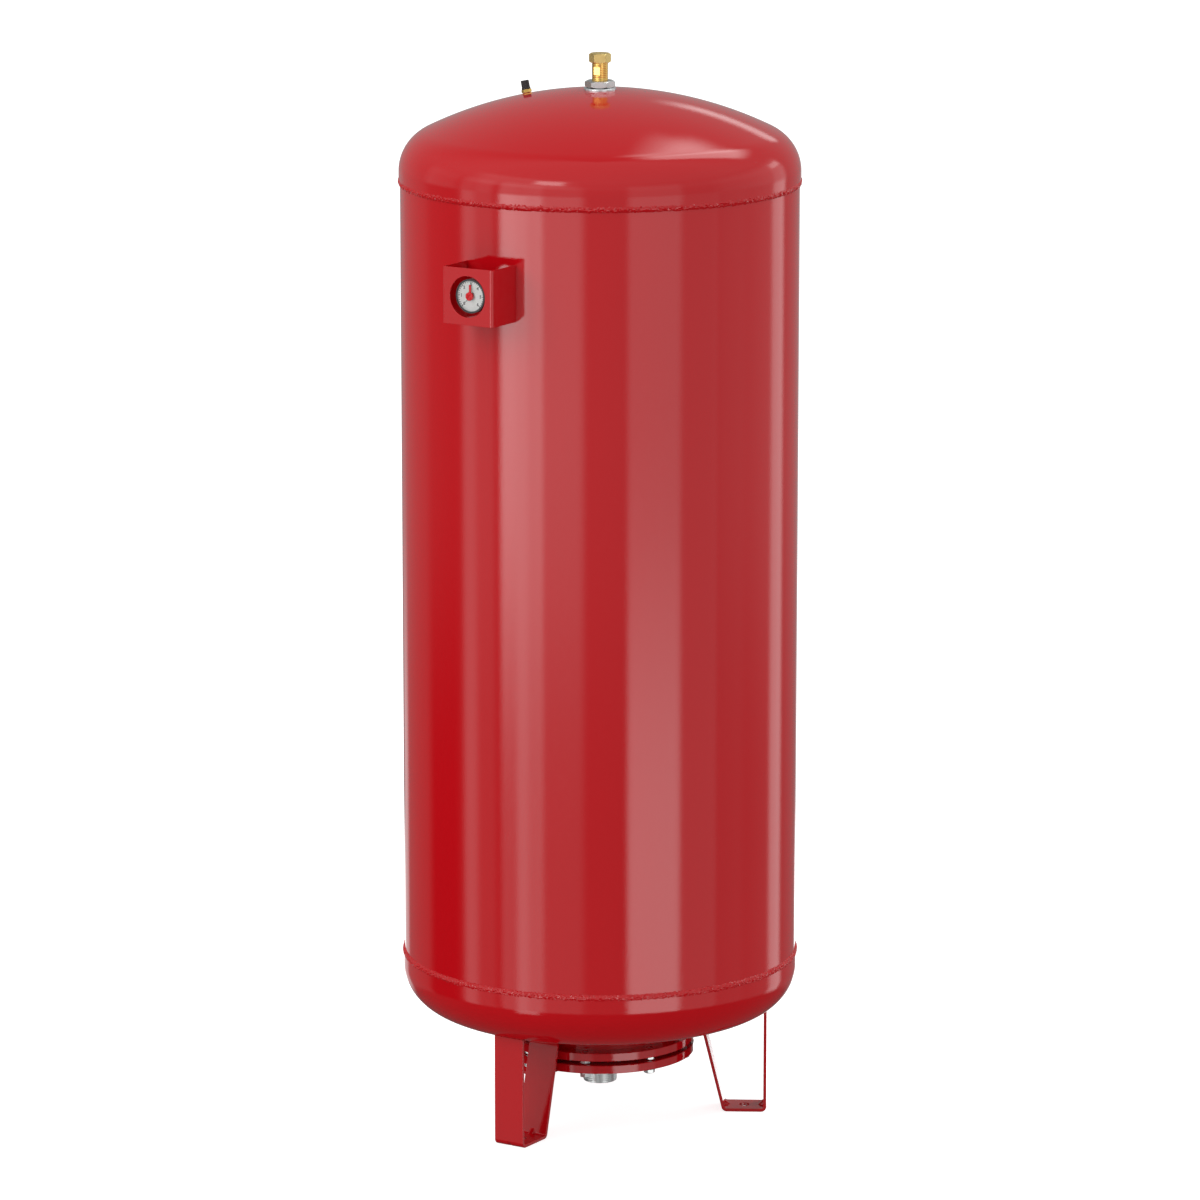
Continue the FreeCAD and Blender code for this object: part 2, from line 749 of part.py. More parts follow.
def foot(azimuth):
    """One foot: vertical outer leg, drilled base, leaning inner leg and a tab under the head."""
    line = foot_middle_line()
    bends = [foot_bend_r, foot_bend_r, foot_tab_bend_r]
    strip = folded_face(line, bends, foot_thickness).extrude(Vector(0, 0, foot_width))
    strip.translate(Vector(0, 0, -foot_width / 2))
    strip.rotate(ORIGIN, Vector(1, 0, 0), 90)
    strip.rotate(ORIGIN, UP, -90)
    tab_end = Vector(0, -line[-1].x, line[-1].y)
    near_end = foot_width / 2 + 1
    upright = [edge for edge in strip.Edges if abs(edge.Length - foot_thickness) < 0.01]
    corners = [edge for edge in upright if (edge.CenterOfMass - tab_end).Length < near_end]
    strip = strip.makeFillet(foot_tab_corner_r, corners)
    strip = with_ribs(strip)
    hole = rod(anchor_hole_d, -foot_thickness, 2 * foot_thickness)
    hole.translate(Vector(0, -anchor_circle_r, 0))
    strip = strip.cut(hole).cut(bottom_dish())
    return at_azimuth(strip, azimuth)


def with_ribs(strip):
    """The folded strip with a rib pressed across each lower bend, and its dent outside."""
    slant = foot_thickness / math.cos(math.radians(foot_inner_lean))
    inner_leg_r = foot_base_inner_r + slant - foot_thickness * foot_lean_slope
    inside = Vector(0, -(foot_outer_r - foot_thickness), foot_thickness)
    outside = Vector(0, -foot_outer_r, 0)
    inner_inside = Vector(0, -inner_leg_r, foot_thickness)
    inner_outside = Vector(0, -foot_base_inner_r, 0)
    bends = [(inside, outside, 0, 1), (inner_inside, inner_outside, foot_inner_lean, -1)]
    for near, far, turn, sign in bends:
        rib = bar_across(near, turn, sign, rib_reach, rib_radius).common(loop_space())
        dent = bar_across(far, turn, sign, dent_reach, dent_radius)
        strip = strip.fuse(rib).cut(dent)
    return strip.removeSplitter()


def loop_space():
    """Block that fills a foot's loop from inside its base to over the ribs."""
    line = foot_middle_line()
    sink = foot_thickness / 4
    low = line[1].y
    high = low + 3 * rib_reach
    outer, inner = line[1].x - sink, line[2].x + sink
    inner_high = inner - foot_lean_slope * (high - low)
    side = -2 * rib_radius
    corners = [
        Vector(side, -outer, low), Vector(side, -outer, high),
        Vector(side, -inner_high, high), Vector(side, -inner, low),
    ]
    return Part.Face(Part.makePolygon(corners + corners[:1])).extrude(Vector(-2 * side, 0, 0))


def gauge_guard():
    """Sheet folded to a U, its sides cut to the barrel, with a round window over the dial."""
    half = guard_sheet / 2
    side = guard_width / 2 - half
    front = -(shell_r + guard_stand_off) + half
    back = -(shell_r - 4 * guard_sheet)
    line = [Vector(-side, back, 0), Vector(-side, front, 0), Vector(side, front, 0), Vector(side, back, 0)]
    sheet = folded_face(line, [guard_bend_r, guard_bend_r], guard_sheet)
    sheet = sheet.extrude(Vector(0, 0, guard_height))
    sheet.translate(Vector(0, 0, guard_centre_z - guard_height / 2))
    window = along_gauge(rod(guard_window_d, -guard_stand_off / 4, guard_stand_off / 4), 0)
    return sheet.cut(window).cut(rod(shell_od, 0, upper_weld_z))


def along_gauge(shape, behind_guard):
    """Copy of a shape whose +Z is turned to face the front, set behind the guard's face."""
    placed = shape.copy()
    placed.rotate(ORIGIN, Vector(1, 0, 0), 90)
    placed.translate(Vector(0, -(shell_r + guard_stand_off - behind_guard), guard_centre_z))
    return placed


glass_front = gauge_behind_guard + gauge_lip_thickness
glass_back = glass_front + glass_thickness
dial_front = glass_back + dial_behind_glass
case_back = gauge_behind_guard + gauge_depth
socket_front = guard_stand_off - socket_length
movement_front = dial_front + dial_thickness + movement_behind_dial
movement_back = movement_front + 2 * movement_plate + movement_span
stem_arm_back = case_back - gauge_case_wall - stem_arm_behind
bourdon_middle = (movement_back + stem_arm_back) / 2


def gauge_rod(diameter, front, back):
    """Round bar along the gauge's axis between two depths behind the guard's face."""
    return along_gauge(rod(diameter, -back, -front), 0)


def gauge_socket():
    """Tapped socket welded to the barrel for the gauge."""
    block = gauge_rod(socket_d, socket_front, guard_stand_off + barrel_wall)
    block = block.cut(rod(shell_od, 0, upper_weld_z))
    thread_back = socket_front + gauge_thread_length
    block = block.cut(gauge_rod(gauge_thread_d + 2 * bolt_tap_gap, socket_front, thread_back))
    return block.cut(gauge_rod(2 * gauge_bore, socket_front, guard_stand_off + barrel_wall))


def gauge_stem():
    """Brass stem: thread, square for the spanner, and the arm that holds the Bourdon tube."""
    thread_back = socket_front + gauge_thread_length
    stem = gauge_rod(gauge_thread_d, socket_front, thread_back)
    square = Part.makeBox(
        gauge_square_af, gauge_square_af, gauge_square_length,
        Vector(-gauge_square_af / 2, -gauge_square_af / 2, -socket_front)
    )
    stem = stem.fuse(along_gauge(square, 0))
    stem = stem.fuse(gauge_rod(gauge_stem_d, movement_back, socket_front))
    arm_width = bourdon_across + 2 * stem_arm_lap
    arm_end = bourdon_mid_r + bourdon_across / 2 + stem_arm_lap
    arm = Part.makeBox(
        arm_width, arm_end, stem_arm_back - movement_back, Vector(-arm_width / 2, -arm_end, -stem_arm_back)
    )
    slot = bourdon_ring(bourdon_across + 2 * bourdon_slot_gap, bourdon_along + 2 * bourdon_slot_gap, 360)
    stem = stem.fuse(along_gauge(arm, 0).cut(slot))
    return stem.cut(gauge_rod(gauge_bore, bourdon_middle, thread_back)).removeSplitter()


def bourdon_ring(across, along, sweep):
    """Part of a ring of rectangular section about the gauge's axis, from six o'clock."""
    inner, outer = bourdon_mid_r - across / 2, bourdon_mid_r + across / 2
    corners = [
        Vector(0, -outer, -bourdon_middle - along / 2), Vector(0, -inner, -bourdon_middle - along / 2),
        Vector(0, -inner, -bourdon_middle + along / 2), Vector(0, -outer, -bourdon_middle + along / 2),
    ]
    ring = Part.Face(Part.makePolygon(corners + corners[:1])).revolve(ORIGIN, UP, sweep)
    return along_gauge(ring, 0)


def gauge_bourdon_tube():
    """Flattened tube bent to most of a circle, open at its root and closed at its tip."""
    inner_across, inner_along = bourdon_across - 2 * bourdon_wall, bourdon_along - 2 * bourdon_wall
    tip_wall = math.degrees(2 * bourdon_wall / bourdon_mid_r)
    hollow = bourdon_ring(inner_across, inner_along, bourdon_arc - tip_wall)
    return bourdon_ring(bourdon_across, bourdon_along, bourdon_arc).cut(hollow)


def gauge_movement():
    """Two plates on three pillars that carry the pointer's arbor."""
    plates = gauge_rod(movement_d, movement_front, movement_front + movement_plate)
    plates = plates.fuse(gauge_rod(movement_d, movement_back - movement_plate, movement_back))
    for turn in (30, 150, 270):
        pillar = rod(pillar_d, -movement_back + movement_plate, -movement_front - movement_plate)
        pillar.translate(Vector(movement_d / 2 - pillar_d, 0, 0))
        pillar.rotate(ORIGIN, UP, turn)
        plates = plates.fuse(along_gauge(pillar, 0))
    bore = gauge_rod(arbor_d + 2 * arbor_fit_gap, movement_front, movement_back)
    return plates.cut(bore).removeSplitter()


def gauge_case():
    """Round pressed case with a lip over the glass and a hole for the stem."""
    outer, inner = gauge_od / 2, gauge_od / 2 - gauge_case_wall
    lip = gauge_window_d / 2
    hole = gauge_stem_d / 2 + vent_thread_gap
    front, back = -gauge_behind_guard, -case_back
    case = turned([
        (hole, back), (outer, back), (outer, front), (lip, front),
        (lip, front - gauge_lip_thickness), (inner, front - gauge_lip_thickness),
        (inner, back + gauge_case_wall), (hole, back + gauge_case_wall),
    ])
    return along_gauge(case, 0)


def gauge_glass():
    """Flat window held behind the case's lip, drilled for the set marker's axle."""
    inner_d = gauge_od - 2 * gauge_case_wall - 2 * weld_fit_gap
    pane = gauge_rod(inner_d, glass_front, glass_back)
    return pane.cut(gauge_rod(marker_axle_d + 2 * marker_fit_gap, glass_front, glass_back))


def gauge_dial():
    """Dial plate with a hole for the pointer's arbor."""
    inner_d = gauge_od - 2 * gauge_case_wall - 2 * weld_fit_gap
    plate = gauge_rod(inner_d, dial_front, dial_front + dial_thickness)
    return plate.cut(gauge_rod(arbor_d + 2 * arbor_fit_gap, dial_front, dial_front + dial_thickness))


def gauge_pointer():
    """Pointer at zero, with its hub and the arbor behind it."""
    back = dial_front - pointer_dial_gap
    front = back - pointer_thickness
    half = pointer_width / 2
    corners = [
        Vector(-half, -pointer_tail, -back), Vector(half, -pointer_tail, -back),
        Vector(half / 4, pointer_tip, -back), Vector(-half / 4, pointer_tip, -back),
    ]
    blade = Part.Face(Part.makePolygon(corners + corners[:1])).extrude(Vector(0, 0, pointer_thickness))
    blade.rotate(ORIGIN, UP, -zero_angle)
    pointer = along_gauge(blade, 0).fuse(gauge_rod(pointer_hub_d, back - pointer_hub_height, back))
    return pointer.fuse(gauge_rod(arbor_d, front, movement_back - arbor_end_gap)).removeSplitter()


def gauge_set_marker():
    """Knob, arm and axle of the set marker in one moulding, with a clip behind the glass."""
    knob_back = glass_front - marker_glass_gap
    knob = along_gauge(rounded_knob(), knob_back)
    arm = Part.makeBox(
        marker_arm_width, marker_arm_reach, marker_arm_thickness,
        Vector(-marker_arm_width / 2, 0, -knob_back)
    )
    marker = knob.fuse(along_gauge(arm, 0))
    clip_back = glass_back + marker_clip_gap + marker_clip_height
    marker = marker.fuse(gauge_rod(marker_axle_d, knob_back, clip_back))
    marker = marker.fuse(gauge_rod(marker_clip_d, clip_back - marker_clip_height, clip_back))
    return marker.removeSplitter()


def rounded_knob():
    """Knob with a rounded front edge and a cross slot for a screwdriver, facing +Z."""
    knob = rod(knob_d, 0, knob_height)
    rim = [edge for edge in knob.Edges if abs(edge.BoundBox.ZMin - knob_height) < 0.01]
    knob = knob.makeFillet(knob_edge_r, rim)
    slot = Part.makeBox(
        knob_d * 0.66, knob_slot_width, knob_slot_depth,
        Vector(-knob_d * 0.33, -knob_slot_width / 2, knob_height - knob_slot_depth)
    )
    for turn in (45, 135):
        cut = slot.copy()
        cut.rotate(ORIGIN, UP, turn)
        knob = knob.cut(cut)
    return knob


def sub_parts():
    """Every node's name with its shape."""
    makers = [
        shell_barrel, top_head, bottom_head, upper_girth_weld, lower_girth_weld, barrel_seam_weld,
        neck_ring, flange_ring, flange_cover, flange_bolts, flange_washers, flange_nuts, water_nozzle,
        bladder, bladder_clamp_washer, vent_washer, vent_nut, vent_stem, vent_cap, vent_gasket,
        gas_valve_boss, gas_valve_body, gas_valve_pin, gas_valve_spring, gas_valve_cap,
        gauge_guard, gauge_socket, gauge_stem, gauge_bourdon_tube, gauge_movement, gauge_case,
        gauge_glass, gauge_dial, gauge_pointer, gauge_set_marker,
    ]
    shapes = {maker.__name__: maker() for maker in makers}
    for index, name in enumerate(foot_names):
        shapes[name] = foot(index * 360.0 / foot_count)
    return shapes


os.makedirs("parts", exist_ok=True)
for node, shape in sub_parts().items():
    shape.exportStep(os.path.join("parts", node + ".step"))
    solids = len(shape.Solids)
    box = shape.BoundBox
    print(f"{node:22s} solids {solids} valid {shape.isValid()} volume {shape.Volume:12.1f}"
          f" z {box.ZMin:8.1f} {box.ZMax:8.1f}")
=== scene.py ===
import math
import bmesh
import bpy
from mathutils import Matrix, Vector


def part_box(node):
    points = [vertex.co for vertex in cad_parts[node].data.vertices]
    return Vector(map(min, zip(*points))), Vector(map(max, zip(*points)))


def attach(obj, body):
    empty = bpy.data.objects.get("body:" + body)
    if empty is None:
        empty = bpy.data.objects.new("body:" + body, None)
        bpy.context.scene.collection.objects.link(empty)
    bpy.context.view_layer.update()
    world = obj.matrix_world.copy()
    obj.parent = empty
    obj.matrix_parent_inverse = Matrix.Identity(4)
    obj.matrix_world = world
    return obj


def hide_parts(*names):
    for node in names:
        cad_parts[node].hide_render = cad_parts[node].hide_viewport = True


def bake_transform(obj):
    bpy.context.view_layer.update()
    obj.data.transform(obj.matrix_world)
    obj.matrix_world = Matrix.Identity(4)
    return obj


# Floor-standing expansion tank: coated steel vessel on three folded feet, bolted water
# flange below, guarded pressure gauge in front, gas valve and vent on the top head.
# Metres, Z up, the gauge faces -Y. An azimuth turns from the front towards +X.

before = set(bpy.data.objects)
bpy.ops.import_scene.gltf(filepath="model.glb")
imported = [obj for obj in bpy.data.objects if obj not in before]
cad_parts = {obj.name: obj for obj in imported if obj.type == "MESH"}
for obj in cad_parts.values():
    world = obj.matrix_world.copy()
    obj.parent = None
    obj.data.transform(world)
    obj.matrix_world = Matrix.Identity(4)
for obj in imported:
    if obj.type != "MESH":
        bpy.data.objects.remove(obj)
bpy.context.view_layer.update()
MM = 0.001
# Points nearer to each other than this are one point
SAME_PLACE = 0.001 * MM


def dome_rise(out_r, crown_r, knuckle_r):
    """Height of a dished head's crown over the top of its knuckle's circle."""
    half = math.asin((out_r - knuckle_r) / (crown_r - knuckle_r))
    return (crown_r - knuckle_r) * (1 - math.cos(half))


# Shell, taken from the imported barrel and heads
barrel_low, barrel_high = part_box("shell_barrel")
SHELL_R = barrel_high.x
BARREL_WALL = 3.0 * MM
HEAD_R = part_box("top_head")[1].x
HEAD_WALL = 2.5 * MM
UPPER_WELD_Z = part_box("top_head")[0].z
LOWER_WELD_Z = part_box("bottom_head")[1].z
TOP_CROWN_R = 753.0 * MM
TOP_KNUCKLE_R = 84.0 * MM
TOP_SKIRT = 18.0 * MM
TOP_APEX_Z = UPPER_WELD_Z + TOP_SKIRT + TOP_KNUCKLE_R + dome_rise(HEAD_R, TOP_CROWN_R, TOP_KNUCKLE_R)
BOTTOM_CROWN_R = 1200.0 * MM
BOTTOM_KNUCKLE_R = 85.0 * MM
BOTTOM_SKIRT = 24.5 * MM
STEM_HOLE_R = 15.5 * MM
NECK_HOLE_R = 152.1 * MM
OUTSIDE_RINGS = 64
INSIDE_RINGS = 24
SHELL_SEGMENTS = 320

# Weld beads
GIRTH_BEAD_WIDTH = 12.0 * MM
GIRTH_BEAD_PROUD = 2.0 * MM
SEAM_BEAD_WIDTH = 9.0 * MM
SEAM_BEAD_PROUD = 1.2 * MM
RIPPLE = 3.2 * MM
BEAD_STEP = 1.4 * MM
BEAD_SECTION_POINTS = 40
HIGHEST_LUMP = 0.68
GIRTH_LUMPS = 6.5 * MM
GIRTH_POINTS = 720
# The girth beads' middles lie this far on the barrel's side of the heads' edges
BEAD_SHIFT = 0.7 * MM
SEAM_LUMPS = 2.6 * MM

# Threads, right-handed, each drawn coarser and shallower than its real form so that its turns
# still show at the picture's size: the pipe thread has 2.3 mm between turns and the stem 1.5 mm
PIPE_PITCH = 3.8 * MM
PIPE_THREAD_DEPTH = 0.5 * MM
STEM_PITCH = 3.3 * MM
STEM_THREAD_DEPTH = 0.35 * MM
ROWS_PER_TURN = 6.0

# Bottom flange and water nozzle
NECK_WALL = 10.0 * MM
RING_BORE_R = 118.0 * MM
BOLT_CIRCLE_R = 164.0 * MM
BOLT_FIRST_AZIMUTH = 22.5
BOLT_COUNT = 8
BOLT_HOLE_R = 6.05 * MM
COVER_HOLE_R = 7.0 * MM
BOLT_HOLE_SEGMENTS = 32
NOZZLE_SEAT_R = 31.05 * MM
PLATE_EDGE = 1.0 * MM
NOZZLE_BORE_R = 27.5 * MM
NOZZLE_EDGE = 0.4 * MM
NOZZLE_THREAD_TOP = 56.0 * MM

# Vent
STEM_R = 15.2 * MM
STEM_BORE_R = 5.0 * MM
STEM_FLANGE_R = 30.0 * MM
STEM_FLANGE_THICKNESS = 6.0 * MM
FLAT_HALF_WIDTH = 13.5 * MM
FLAT_ABOVE_NUT = 10.4 * MM
FLAT_HEIGHT = 15.4 * MM
FLAT_AZIMUTH = 6.2
WASHER_ROUND = 2.0 * MM
WASHER_STEPS = 8
# The thread's core stays inside the flats, and a collar closes it at the stem's top
CORE_CLEARANCE = 0.2 * MM
STEM_COLLAR = 0.5 * MM

# Gas valve
VALVE_AZIMUTH = -90.0
VALVE_R = 163.0 * MM
VALVE_CAP_LOW = 7.1 * MM
VALVE_CAP_HEIGHT = 17.0 * MM
VALVE_CAP_R = 7.75 * MM
VALVE_COLLAR_R = 8.45 * MM
VALVE_COLLAR_HEIGHT = 2.6 * MM
VALVE_CAP_EDGE = 1.0 * MM
VALVE_RECESS_R = 5.05 * MM
VALVE_CAP_TOP_WALL = 3.4 * MM
VALVE_SOCKET_R = 7.5 * MM
SOCKET_HOLE_LENGTH = 60.0 * MM
SOCKET_HOLE_SEGMENTS = 48
CAP_RIBS = 28
POINTS_PER_RIB = 6
CAP_RIB_DEPTH = 0.35 * MM

# Gauge
GAUGE_Z = (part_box("gauge_dial")[0].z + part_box("gauge_dial")[1].z) / 2
DIAL_FRONT_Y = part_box("gauge_dial")[0].y
PRINT_HEIGHT = 0.05 * MM
SCALE_SWEEP = 270.0
# Five scale marks to a figure, wide enough to read at the distance of a whole-vessel view
SCALE_STEPS = 30
TICK_OUTER_R = 28.0 * MM
TICK_LENGTH = 2.8 * MM
TICK_WIDTH = 1.25 * MM
MAJOR_LENGTH = 3.6 * MM
MAJOR_WIDTH = 1.7 * MM
NUMERAL_R = 20.8 * MM
NUMERAL_SIZE = 8.0 * MM
NUMERAL_WEIGHT = 0.3 * MM
NUMERAL_COUNT = 7

# Edges and meshes
SHARP_ANGLE = math.radians(32)
EDGE_SEGMENTS = 3
FLAT_WITHIN = math.radians(0.4)
TURNS_SEGMENTS = 256
SMALL_SEGMENTS = 128
# Radius of the circle that carries a turned section round the axis
SWEEP_RADIUS = 0.1

# Materials: the spacing and the depth of what their surfaces show
GLOSS_IOR = 1.5
COATING_SHADE_SPACING = 1 / 3
PEEL_SPACING = 1.3 * MM
PEEL_DEPTH = 0.042 * MM
TARNISH_SPACING = 12.0 * MM
REAM_SPACING = 15.0 * MM
REAM_DEPTH = 0.002 * MM


# Small helpers


def linear(hex_colour):
    """Linear RGBA of an sRGB hex colour."""
    channels = [int(hex_colour[i:i + 2], 16) / 255 for i in (1, 3, 5)]
    return [c / 12.92 if c <= 0.04045 else ((c + 0.055) / 1.055) ** 2.4 for c in channels] + [1.0]


def fill(tree, node, inputs):
    """Fills a node's inputs with values, or links them to sockets."""
    for key, value in inputs.items():
        if isinstance(value, bpy.types.NodeSocket):
            tree.links.new(value, node.inputs[key])
        else:
            node.inputs[key].default_value = value


def add(tree, kind, inputs=None, **settings):
    """A node with its settings and its inputs filled."""
    node = tree.nodes.new(kind)
    for name, value in settings.items():
        setattr(node, name, value)
    fill(tree, node, inputs or {})
    return node


def maths(tree, operation, *values):
    """Result of one operation on one to three numbers."""
    return add(tree, "ShaderNodeMath", dict(enumerate(values)), operation=operation).outputs[0]


def dot(tree, one, other):
    """Dot product of two vectors."""
    product = add(tree, "ShaderNodeVectorMath", {0: one, 1: other}, operation="DOT_PRODUCT")
    return product.outputs["Value"]


def vector(tree, x=0.0, y=0.0, z=0.0):
    """Vector from three numbers."""
    return add(tree, "ShaderNodeCombineXYZ", {"X": x, "Y": y, "Z": z}).outputs[0]


def bare_tree(block):
    """The emptied tree of a new material or world."""
    block.use_nodes = True
    block.node_tree.nodes.clear()
    return block.node_tree


def on_axis(azimuth, radius, z):
    """Point at an azimuth, a distance from the vessel's axis and a height."""
    turn = math.radians(azimuth)
    return Vector((radius * math.sin(turn), -radius * math.cos(turn), z))


def new_object(name, data):
    """Object with its data, in the scene."""
    obj = bpy.data.objects.new(name, data)
    bpy.context.scene.collection.objects.link(obj)
    return obj


def mesh_object(name, vertices, edges, faces):
    """Object with its place in its mesh."""
    mesh = bpy.data.meshes.new(name)
    mesh.from_pydata(vertices, edges, faces)
    return new_object(name, mesh)


def object_from(work, name, material):
    """Object of one material from a worked mesh."""
    mesh = bpy.data.meshes.new(name)
    work.to_mesh(mesh)
    work.free()
    mesh.materials.append(material)
    return new_object(name, mesh)


def shape_tree(name, inputs):
    """Geometry tree with named inputs; returns the tree, its input node and its output node."""
    tree = bpy.data.node_groups.new(name, "GeometryNodeTree")
    tree.interface.new_socket(name="Geometry", in_out="INPUT", socket_type="NodeSocketGeometry")
    for label, kind in inputs.items():
        tree.interface.new_socket(name=label, in_out="INPUT", socket_type="NodeSocket" + kind)
    tree.interface.new_socket(name="Geometry", in_out="OUTPUT", socket_type="NodeSocketGeometry")
    return tree, add(tree, "NodeGroupInput").outputs, add(tree, "NodeGroupOutput")


def close_tree(tree, given, end, geometry):
    """Ends a geometry tree with its result in the given material."""
    real = add(tree, "GeometryNodeRealizeInstances", {"Geometry": geometry.outputs[0]})
    named = add(tree, "GeometryNodeSetMaterial", {
        "Geometry": real.outputs[0], "Material": given["Material"],
    })
    tree.links.new(named.outputs[0], end.inputs[0])
    return tree


def shaped(obj, tree, values):
    """Runs a geometry tree on an object and leaves the result as its plain mesh."""
    modifier = obj.modifiers.new(tree.name, "NODES")
    modifier.node_group = tree
    for item in tree.interface.items_tree:
        if item.in_out == "INPUT" and item.name in values:
            modifier[item.identifier] = values[item.name]
    return plain_mesh(obj)


def baked(obj):
    """Leaves an object's modifiers' result as its plain mesh."""
    graph = bpy.context.evaluated_depsgraph_get()
    mesh = bpy.data.meshes.new_from_object(obj.evaluated_get(graph), depsgraph=graph)
    obj.modifiers.clear()
    obj.data = mesh
    return obj


def plain_mesh(obj):
    """Bakes an object's modifiers into its mesh and shades it by the angle of its edges."""
    mesh = baked(obj).data
    mesh.polygons.foreach_set("use_smooth", [True] * len(mesh.polygons))
    mesh.set_sharp_from_angle(angle=SHARP_ANGLE)
    return obj


def rod(name, radius, length, segments, place):
    """Rod that serves as a cutter, lengthwise on the Z axis of its place."""
    work = bmesh.new()
    bmesh.ops.create_cone(
        work, cap_ends=True, segments=segments, radius1=radius, radius2=radius, depth=length, matrix=place,
    )
    return object_from(work, name, coating)


def cut_with(obj, cutter):
    """Cuts a piece with a cutter, which is then removed."""
    cut = obj.modifiers.new("cut", "BOOLEAN")
    cut.object = cutter
    cut.solver = "EXACT"
    plain_mesh(obj)
    bpy.data.objects.remove(cutter)


def piece(obj, body, slot, *nodes):
    """Hangs a finished piece on a body and hides the nodes it stands for; the slot is not used."""
    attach(obj, body)
    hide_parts(*nodes)
    return obj


# Materials


def new_material(name):
    """Material with a Principled shader; returns the material, its tree and the shader."""
    material = bpy.data.materials.new(name)
    material.use_nodes = True
    tree = material.node_tree
    shader = tree.nodes["Principled BSDF"]
    return material, tree, shader


def noise(tree, spacing, detail):
    """Noise that stays with the piece, its lumps about one spacing apart."""
    place = add(tree, "ShaderNodeTexCoord").outputs["Object"]
    lumps = add(tree, "ShaderNodeTexNoise", {"Vector": place, "Scale": 1 / spacing, "Detail": detail})
    return lumps.outputs["Fac"]


def mixed(tree, factor, dark, light):
    """Colour between two hex colours."""
    return add(tree, "ShaderNodeMix", {
        "Factor": factor, 6: linear(dark), 7: linear(light),
    }, data_type="RGBA").outputs[2]


def bumped(tree, height, depth):
    """Normal of a surface with bumps of a depth."""
    bump = add(tree, "ShaderNodeBump", {"Height": height, "Distance": depth, "Strength": 1.0})
    return bump.outputs["Normal"]


def gloss_red_coating():
    """Oven-baked gloss polyester coating: deep red with a sharp, slightly rippled mirror."""
    material, tree, shader = new_material("gloss_red_polyester_coating")
    shade = noise(tree, COATING_SHADE_SPACING, 2.0)
    # Orange peel: the fine waves that the coating keeps from its flow in the oven
    peel = noise(tree, PEEL_SPACING, 1.0)
    fill(tree, shader, {
        "Base Color": mixed(tree, shade, "#BA0A14", "#BE0B15"), "Roughness": 0.04, "IOR": GLOSS_IOR,
        "Normal": bumped(tree, peel, PEEL_DEPTH),
    })
    return material


def metal(name, light, dark, roughness, grain, grain_depth):
    """Metal with fine tool marks and slight tarnish; the grain is the spacing of its marks."""
    material, tree, shader = new_material(name)
    tarnish = noise(tree, TARNISH_SPACING, 3.0)
    marks = noise(tree, grain, 2.0)
    gloss = add(tree, "ShaderNodeMapRange", {
        "Value": marks, "To Min": roughness * 0.75, "To Max": roughness * 1.3,
    })
    fill(tree, shader, {
        "Base Color": mixed(tree, tarnish, dark, light), "Roughness": gloss.outputs["Result"],
        "Metallic": 1.0, "Normal": bumped(tree, marks, grain_depth),
    })
    return material


def moulded(name, light, dark, roughness, grain, grain_depth):
    """Plastic, rubber or enamel with an even skin and a fine texture."""
    material, tree, shader = new_material(name)
    skin = noise(tree, grain, 2.0)
    fill(tree, shader, {
        "Base Color": mixed(tree, skin, dark, light), "Roughness": roughness, "IOR": GLOSS_IOR,
        "Normal": bumped(tree, skin, grain_depth),
    })
    return material


def clear_window():
    """Flat drawn glass: clear and even, so that the dial reads white through it."""
    material, tree, shader = new_material("flat_clear_glass")
    ream = noise(tree, REAM_SPACING, 1.0)
    fill(tree, shader, {
        "Base Color": linear("#FBFBFB"), "Roughness": 0.0, "IOR": GLOSS_IOR,
        "Transmission Weight": 1.0, "Normal": bumped(tree, ream, REAM_DEPTH),
    })
    return material


coating = gloss_red_coating()
zinc = metal("bright_zinc_plated_steel", "#D6D9D9", "#C8CCCB", 0.33, 0.9 * MM, 0.01 * MM)
turned_zinc = metal("zinc_plated_turned_steel", "#E2E4E5", "#D4D6D8", 0.22, 0.9 * MM, 0.004 * MM)
brass = metal("machined_brass", "#F0CA78", "#E0B45C", 0.15, 0.9 * MM, 0.006 * MM)
blasted_brass = metal("fine_blasted_brass", "#E6D08C", "#DCC47C", 0.46, 0.7 * MM, 0.02 * MM)
spring_steel = metal("drawn_spring_steel", "#B9BBBD", "#A3A5A8", 0.25, 0.5 * MM, 0.002 * MM)
cap_plastic = moulded("moulded_black_polyethylene", "#202122", "#191A1B", 0.42, 0.6 * MM, 0.01 * MM)
butyl = moulded("moulded_butyl_rubber", "#1C1C1C", "#141414", 0.7, 1.2 * MM, 0.03 * MM)
case_enamel = moulded("dark_grey_stoved_enamel", "#3A3C3E", "#303234", 0.38, 0.7 * MM, 0.006 * MM)
dial_enamel = moulded("matt_white_dial_enamel", "#E9E9E6", "#E3E3E0", 0.5, 0.5 * MM, 0.002 * MM)
dial_ink = moulded("matt_black_dial_ink", "#0D0D0D", "#080808", 0.6, 0.4 * MM, 0.002 * MM)
marker_plastic = moulded("moulded_red_abs", "#D81822", "#CE141E", 0.14, 0.6 * MM, 0.004 * MM)
window_glass = clear_window()


# Geometry trees


